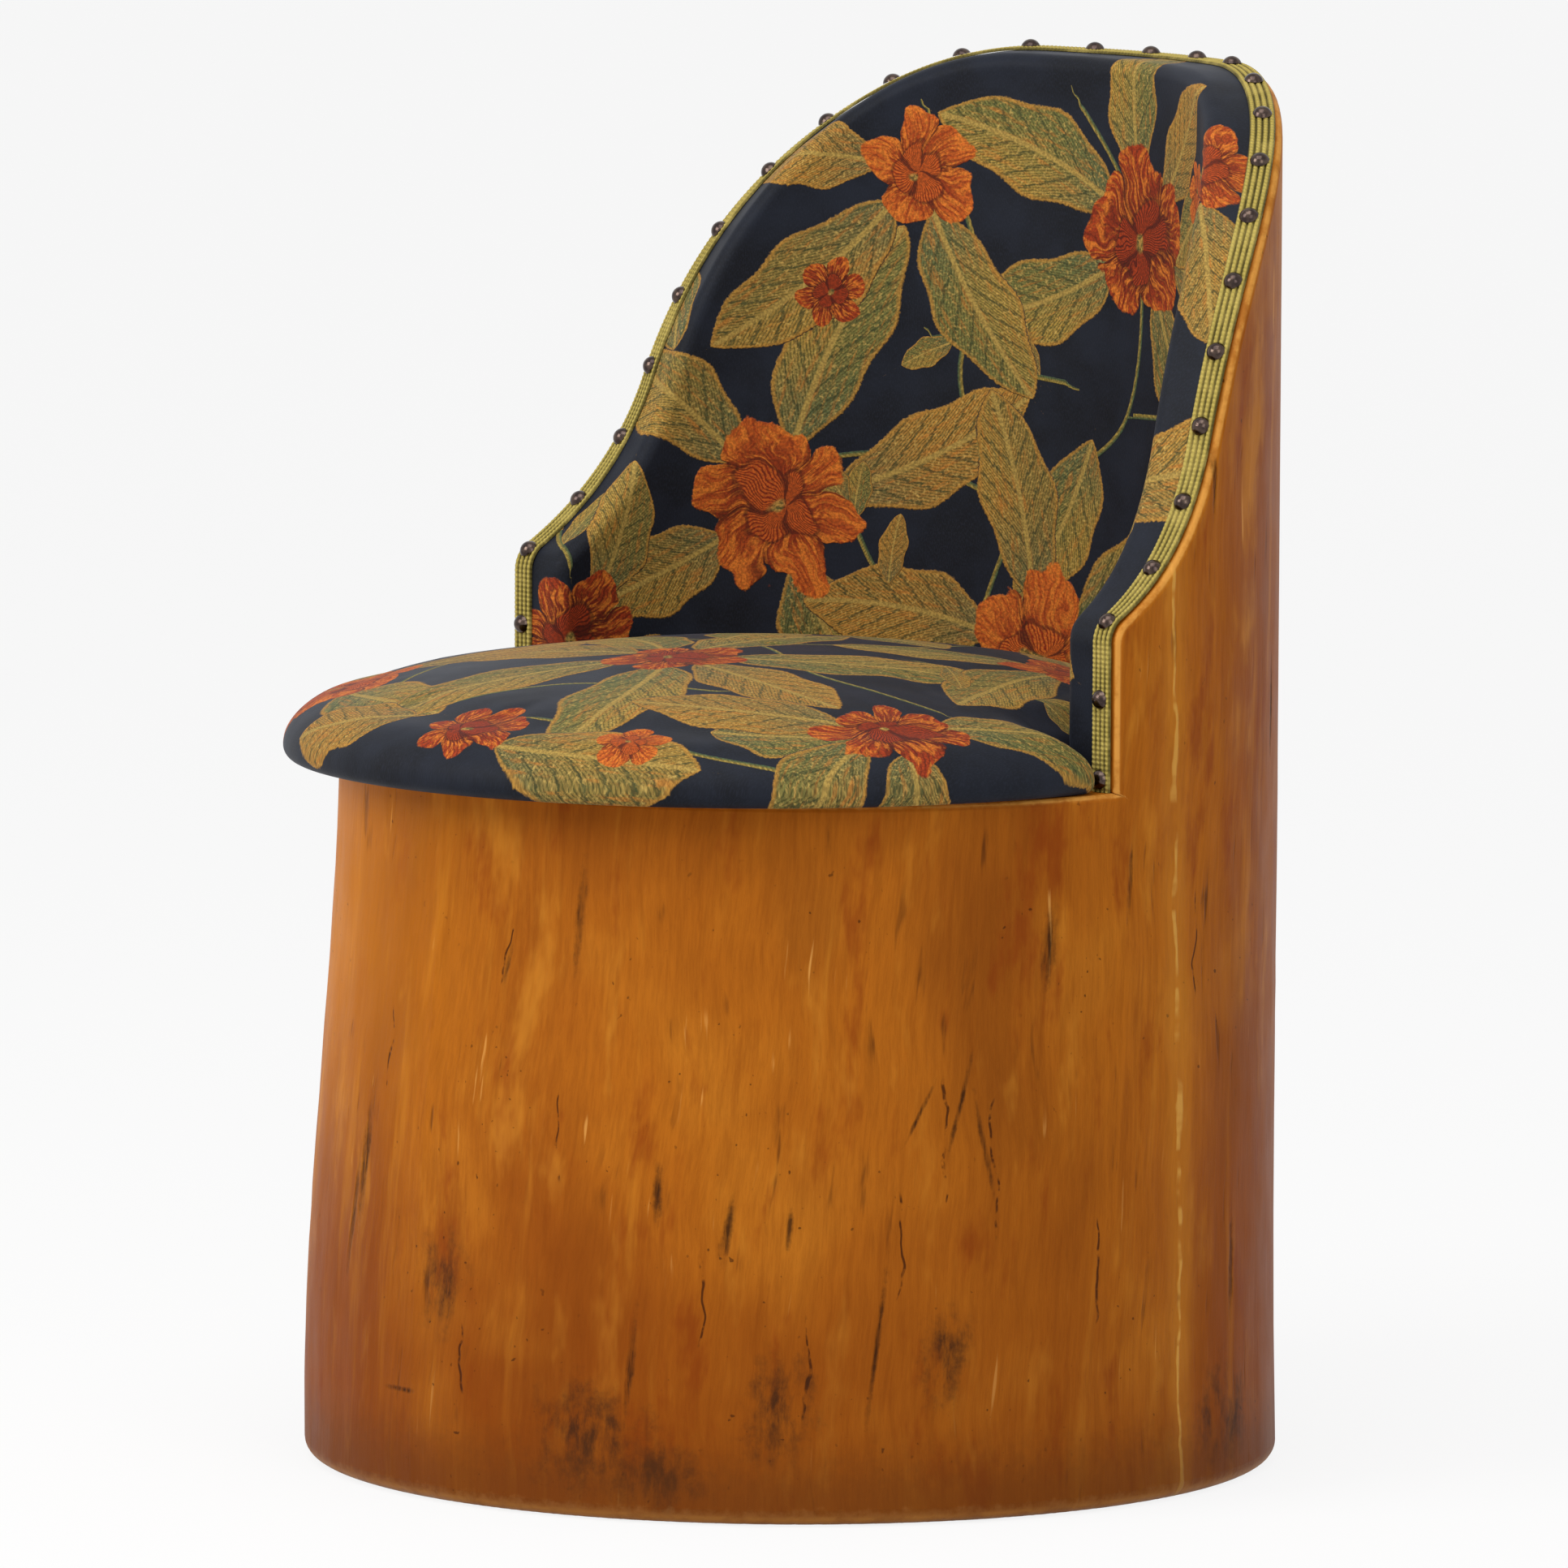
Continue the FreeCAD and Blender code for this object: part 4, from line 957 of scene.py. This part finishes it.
def seat_outline(pitch):
    """The seat's outline in plan, once round from the middle of the front."""
    horn = 0.007
    nook = 0.009
    horn_y = NOTCH - horn
    horn_x = math.sqrt((FRONT_R - horn) ** 2 - (horn_y - FRONT_Y) ** 2)
    nook_y = NOTCH + nook
    nook_x = math.sqrt((REAR_R + nook) ** 2 - (nook_y - AXIS) ** 2)
    points = []

    def arc(cx, cy, radius, first, last):
        count = max(3, math.ceil(abs(last - first) * radius / pitch))
        for step in range(count):
            angle = first + (last - first) * step / count
            points.append((cx + radius * math.cos(angle), cy + radius * math.sin(angle)))

    front = math.atan2(horn_y - FRONT_Y, horn_x)
    rear = math.atan2(nook_y - AXIS, nook_x)
    arc(0.0, FRONT_Y, FRONT_R, -math.pi / 2, front)
    arc(horn_x, horn_y, horn, front, math.pi / 2)
    gap = horn_x - nook_x
    count = max(2, math.ceil(gap / pitch))
    points.extend((horn_x - gap * step / count, NOTCH) for step in range(count))
    arc(nook_x, nook_y, nook, -math.pi / 2, -math.pi + rear)
    arc(0.0, AXIS, REAR_R, rear, math.pi / 2)
    left = [(-x, y) for x, y in reversed(points[1:])]
    return points + [(0.0, AXIS + REAR_R)] + left


def make_seat(material):
    """The seat's upholstery: a crowned, rounded pad whose cover is turned under the board."""
    outline = np.array(seat_outline(0.0058))
    middle = np.array([0.0, -0.005])
    size = len(outline)
    after = np.roll(outline, -1, axis=0)

    def distance(points):
        """How far points are from the outline."""
        best = np.full(len(points), 9.0)
        for start, end in zip(outline, after):
            step = end - start
            rel = points - start
            share = np.clip(rel @ step / (step @ step), 0, 1)
            best = np.minimum(best, np.hypot(*(rel - share[:, None] * step).T))
        return best

    wall = LEDGE + 0.0072
    crown_top = 0.4438
    crown_radius = 1.096
    recess = BOARD_TOP + 0.0004
    shares = [1.0]
    depths = [0.0006, 0.0016, 0.003, 0.005, 0.0075, 0.0105, 0.014, 0.018, 0.0225]
    shares += [1 - depth / 0.245 for depth in depths]
    left = shares[-1]
    rings = 36
    shares += [left * (1 - step / rings) for step in range(1, rings)]
    verts = []
    flat = []
    rays = (outline - middle) / np.linalg.norm(outline - middle, axis=1)[:, None]
    for row, share in enumerate(shares):
        plan = middle + (outline - middle) * share
        depth = distance(plan) if row else np.zeros(size)
        radius = np.hypot(plan[:, 0], plan[:, 1] - FRONT_Y)
        crown = crown_top - radius ** 2 / (2 * crown_radius)
        behind = np.clip((plan[:, 1] - NOTCH) / 0.05, 0, 1)
        curl = 0.027 - 0.008 * behind
        height = crown - wall
        lift = np.sqrt(np.clip(1 - (1 - np.clip(depth / curl, 0, 1)) ** 2, 0, 1))
        drop = np.minimum(height, curl * 1.02)
        blend = np.clip((depth - curl * 0.55) / (curl * 0.9), 0, 1)
        blend = blend * blend * (3 - 2 * blend)
        z = wall + drop * lift * (1 - blend) + height * blend
        verts.extend(np.column_stack([plan, z]).tolist())
        spread = np.clip(0.014 - depth, 0, 1)[:, None] * 0.5
        flat.extend((plan + rays * spread).tolist())
    faces = band_faces(len(shares), size)
    verts.append((middle[0], middle[1], crown_top - (middle[1] - FRONT_Y) ** 2 / (2 * crown_radius)))
    flat.append(tuple(middle))
    hub = len(verts) - 1
    last = (len(shares) - 1) * size
    for step in range(size):
        faces.append([last + step, last + (step + 1) % size, hub])

    # The side, the turned-under hem, and the recess the board sits in
    tangent = after - np.roll(outline, 1, axis=0)
    normal = np.column_stack([-tangent[:, 1], tangent[:, 0]])
    normal /= np.linalg.norm(normal, axis=1)[:, None]
    previous = list(range(size))
    under = [(0.0004, LEDGE + 0.0046), (0.0014, LEDGE + 0.0026), (0.0030, LEDGE + 0.0011),
             (0.0050, LEDGE + 0.0004), (0.0063, LEDGE + 0.0005), (0.0066, LEDGE + 0.0018),
             (0.0066, recess)]
    for inset, z in under:
        ring = []
        for step in range(size):
            spot = outline[step] + normal[step] * inset
            verts.append((spot[0], spot[1], z))
            flat.append(tuple(outline[step] - normal[step] * (0.007 + (wall - z) * 0.8)))
            ring.append(len(verts) - 1)
        for step in range(size):
            nxt = (step + 1) % size
            faces.append([previous[nxt], previous[step], ring[step], ring[nxt]])
        previous = ring
    verts.append((middle[0], middle[1], recess))
    flat.append((0.0, 0.0))
    hub = len(verts) - 1
    for step in range(size):
        faces.append([previous[(step + 1) % size], previous[step], hub])
    obj = mesh_object("seat_upholstery", verts, faces, material)
    outward(obj)
    swell(obj, len(shares) * size)
    lay_motifs(obj.data, flat, seat_motifs())
    round_off(obj)
    return obj


# The cloth that fills the seat: settings, mesh size, frames, the height it's held below, its most rise
CLOTH_VALUES = {
    "quality": 5, "mass": 0.25, "uniform_pressure_force": 4.0, "tension_stiffness": 18,
    "compression_stiffness": 18, "bending_stiffness": 0.6,
}
CLOTH_PITCH = 0.006
CLOTH_FRAMES = 20
CLOTH_HELD = LEDGE + 0.016
CLOTH_RISE = 0.005


def swell(obj, top_count):
    """Fill the pad: a cloth copy is blown up a little, and the pad's top takes on its rise."""
    copy = obj.copy()
    copy.data = obj.data.copy()
    scene.collection.objects.link(copy)
    remesh = copy.modifiers.new("even", "REMESH")
    remesh.mode = "VOXEL"
    remesh.voxel_size = CLOTH_PITCH
    graph = bpy.context.evaluated_depsgraph_get()
    even = bpy.data.meshes.new_from_object(copy.evaluated_get(graph))
    copy.modifiers.clear()
    copy.data = even
    before = read_all(even.vertices, "co", 3)
    held = copy.vertex_groups.new(name="held")
    held.add([int(i) for i in np.nonzero(before[:, 2] < CLOTH_HELD)[0]], 1.0, "REPLACE")
    cloth = copy.modifiers.new("cloth", "CLOTH")
    cloth.settings.vertex_group_mass = "held"
    cloth.settings.effector_weights.gravity = 0.0
    cloth.settings.use_pressure = True
    for name, value in CLOTH_VALUES.items():
        setattr(cloth.settings, name, value)
    for number in range(1, CLOTH_FRAMES + 1):
        scene.frame_set(number)
    graph = bpy.context.evaluated_depsgraph_get()
    blown = bpy.data.meshes.new_from_object(copy.evaluated_get(graph))
    move = read_all(blown.vertices, "co", 3) - before
    reach = np.linalg.norm(move, axis=1)
    move *= np.minimum(1.0, CLOTH_RISE / np.maximum(reach, 1e-9))[:, None]
    capped = before + move
    tree = BVHTree.FromPolygons(capped.tolist(), [tuple(face.vertices) for face in blown.polygons])
    for index in range(top_count):
        vert = obj.data.vertices[index]
        hit = tree.ray_cast(Vector((vert.co.x, vert.co.y, 0.6)), Vector((0, 0, -1)))
        if hit[0] is not None and 0 < hit[0].z - vert.co.z < 2 * CLOTH_RISE:
            vert.co.z += (hit[0].z - vert.co.z) * 0.8
    scene.frame_set(1)
    bpy.data.objects.remove(copy)


def make_braid(material):
    """The gimp along the edge: four ribbed cords side by side, as one band."""
    rows = edge_path(FABRIC, 0.00065)
    path = rows[0][:1] + [item for row in rows for item in row[1:]]
    order = there_and_back(len(path))
    columns = 25
    verts = []
    flat = []
    run = 0.0
    last = None
    width = columns + 2
    middle_r = (BRAID_IN + BRAID_OUT) / 2
    for index, mirror in order:
        point, inward = path[index]
        here = wrap(point, middle_r, mirror)
        if last is not None:
            run += (here - last).length
        last = here
        section = []
        for column in range(columns):
            share = column / (columns - 1)
            cord = (share * CORDS) % 1.0 if column < columns - 1 else 1.0
            bulge = math.sqrt(max(0.0, 1 - (2 * cord - 1) ** 2))
            ply = 0.5 + 0.5 * math.sin(2 * math.pi * run / TWIST + cord * PLY_LEAN)
            section.append((share, 0.0005 + bulge * (0.00140 + 0.00040 * ply)))
        section += [(1.0, 0.00025), (0.0, 0.00025)]
        for share, high in section:
            radius = BRAID_IN + (BRAID_OUT - BRAID_IN) * share
            verts.append(wrap(point - inward * high, radius, mirror))
            flat.append((run, share))
    faces = band_faces(len(order), width)
    faces.append(list(range(width)))
    end = (len(order) - 1) * width
    faces.append([end + step for step in reversed(range(width))])
    obj = mesh_object("gimp_braid", verts, faces, material)
    outward(obj)
    write_map(obj.data, "cloth", by_corner(obj.data, flat))
    return obj


def paint(name, material):
    """Give a CAD node its material."""
    mesh = nodes[name].data
    mesh.materials.clear()
    mesh.materials.append(material)


paint("log_body", log_wood())
plain = bare_wood()
for name in ("seat_board", "seat_batten_left", "seat_batten_right"):
    paint(name, plain)
paint("braid_nails", nail_metal())
metal = steel()
for name in ("batten_screws", "seat_tacks"):
    paint(name, metal)

floral = floral_fabric()
lining = make_lining(floral)
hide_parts("back_cover", "back_padding")
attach(lining, "log")

seat = make_seat(floral)
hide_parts("seat_cover", "seat_padding")
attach(seat, "seat")

gimp = make_braid(braid_cord())
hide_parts("braid")
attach(gimp, "log")


# The rays that see the floor and backdrop as pale as the photo's
SEEN_RAYS = ("Is Camera Ray", "Is Transmission Ray", "Is Glossy Ray")
# The photo's view: angles in degrees, the distance in metres and the lens in millimetres
CAMERA_TURN = 50
CAMERA_RISE = 6.54
CAMERA_ROLL = 0.25
CAMERA_AWAY = 8.92
CAMERA_LENS = 372.7


def make_stage():
    """A wide pale floor, a white world, soft lights and the camera."""
    n = Nodes("studio_floor")
    glow = n.add("ShaderNodeEmission")
    n.put(glow.inputs["Color"], (1, 1, 1, 1))
    n.finish((0.8, 0.8, 0.8, 1), 0.9)
    n.blend(n.seen() * 0.86, n.shader, glow, "Material Output")
    reach = 14.0
    level = -0.0005
    corners = [(x * reach, y * reach, level) for x, y in ((-1, -1), (1, -1), (1, 1), (-1, 1))]
    floor = mesh_object("studio_floor", corners, [[0, 1, 2, 3]], n.owner, False)

    world = Nodes("studio", "worlds")
    scene.world = world.owner
    sky = world.tree.nodes["Background"]
    bright = world.add("ShaderNodeBackground")
    for background, strength in ((sky, 0.50), (bright, 1.0)):
        world.put(background.inputs[0], (1, 1, 1, 1))
        world.put(background.inputs[1], strength)
    world.blend(world.seen(), sky, bright, "World Output")

    def light(name, spot, target, size, power, colour):
        lamp = bpy.data.lights.new(name, "AREA")
        lamp.shape = "RECTANGLE"
        lamp.size, lamp.size_y = size
        lamp.energy = power
        lamp.color = colour
        obj = bpy.data.objects.new(name, lamp)
        obj.location = spot
        obj.rotation_euler = (Vector(target) - Vector(spot)).to_track_quat("-Z", "Y").to_euler()
        scene.collection.objects.link(obj)

    light("key", (-0.6, -3.0, 2.2), (0, 0, 0.4), (1.8, 1.8), 62, (1.0, 0.98, 0.95))
    light("top", (0.6, -0.8, 3.0), (0, 0, 0.5), (2.0, 2.0), 33, (1.0, 1.0, 1.0))
    light("side", (3.0, -1.0, 1.6), (0, 0, 0.4), (1.4, 1.8), 18, (1.0, 0.99, 0.97))

    turn = math.radians(CAMERA_TURN)
    rise = math.radians(CAMERA_RISE)
    back = Vector((math.sin(turn) * math.cos(rise), -math.cos(turn) * math.cos(rise), math.sin(rise)))
    right = Vector((math.cos(turn), math.sin(turn), 0.0))
    up = back.cross(right)
    target = Vector((0.0, 0.055, 0.379)) - right * 0.0403 - up * 0.0135
    lens = bpy.data.cameras.new("camera")
    lens.sensor_width = 36.0
    lens.lens = CAMERA_LENS
    lens.clip_end = 60.0
    camera = bpy.data.objects.new("camera", lens)
    look = Matrix((right, up, back)).transposed().to_4x4()
    roll = Matrix.Rotation(math.radians(CAMERA_ROLL), 4, "Z")
    camera.matrix_world = Matrix.Translation(target + back * CAMERA_AWAY) @ look @ roll
    scene.collection.objects.link(camera)
    scene.camera = camera
    scene.view_settings.view_transform = "Standard"


make_stage()
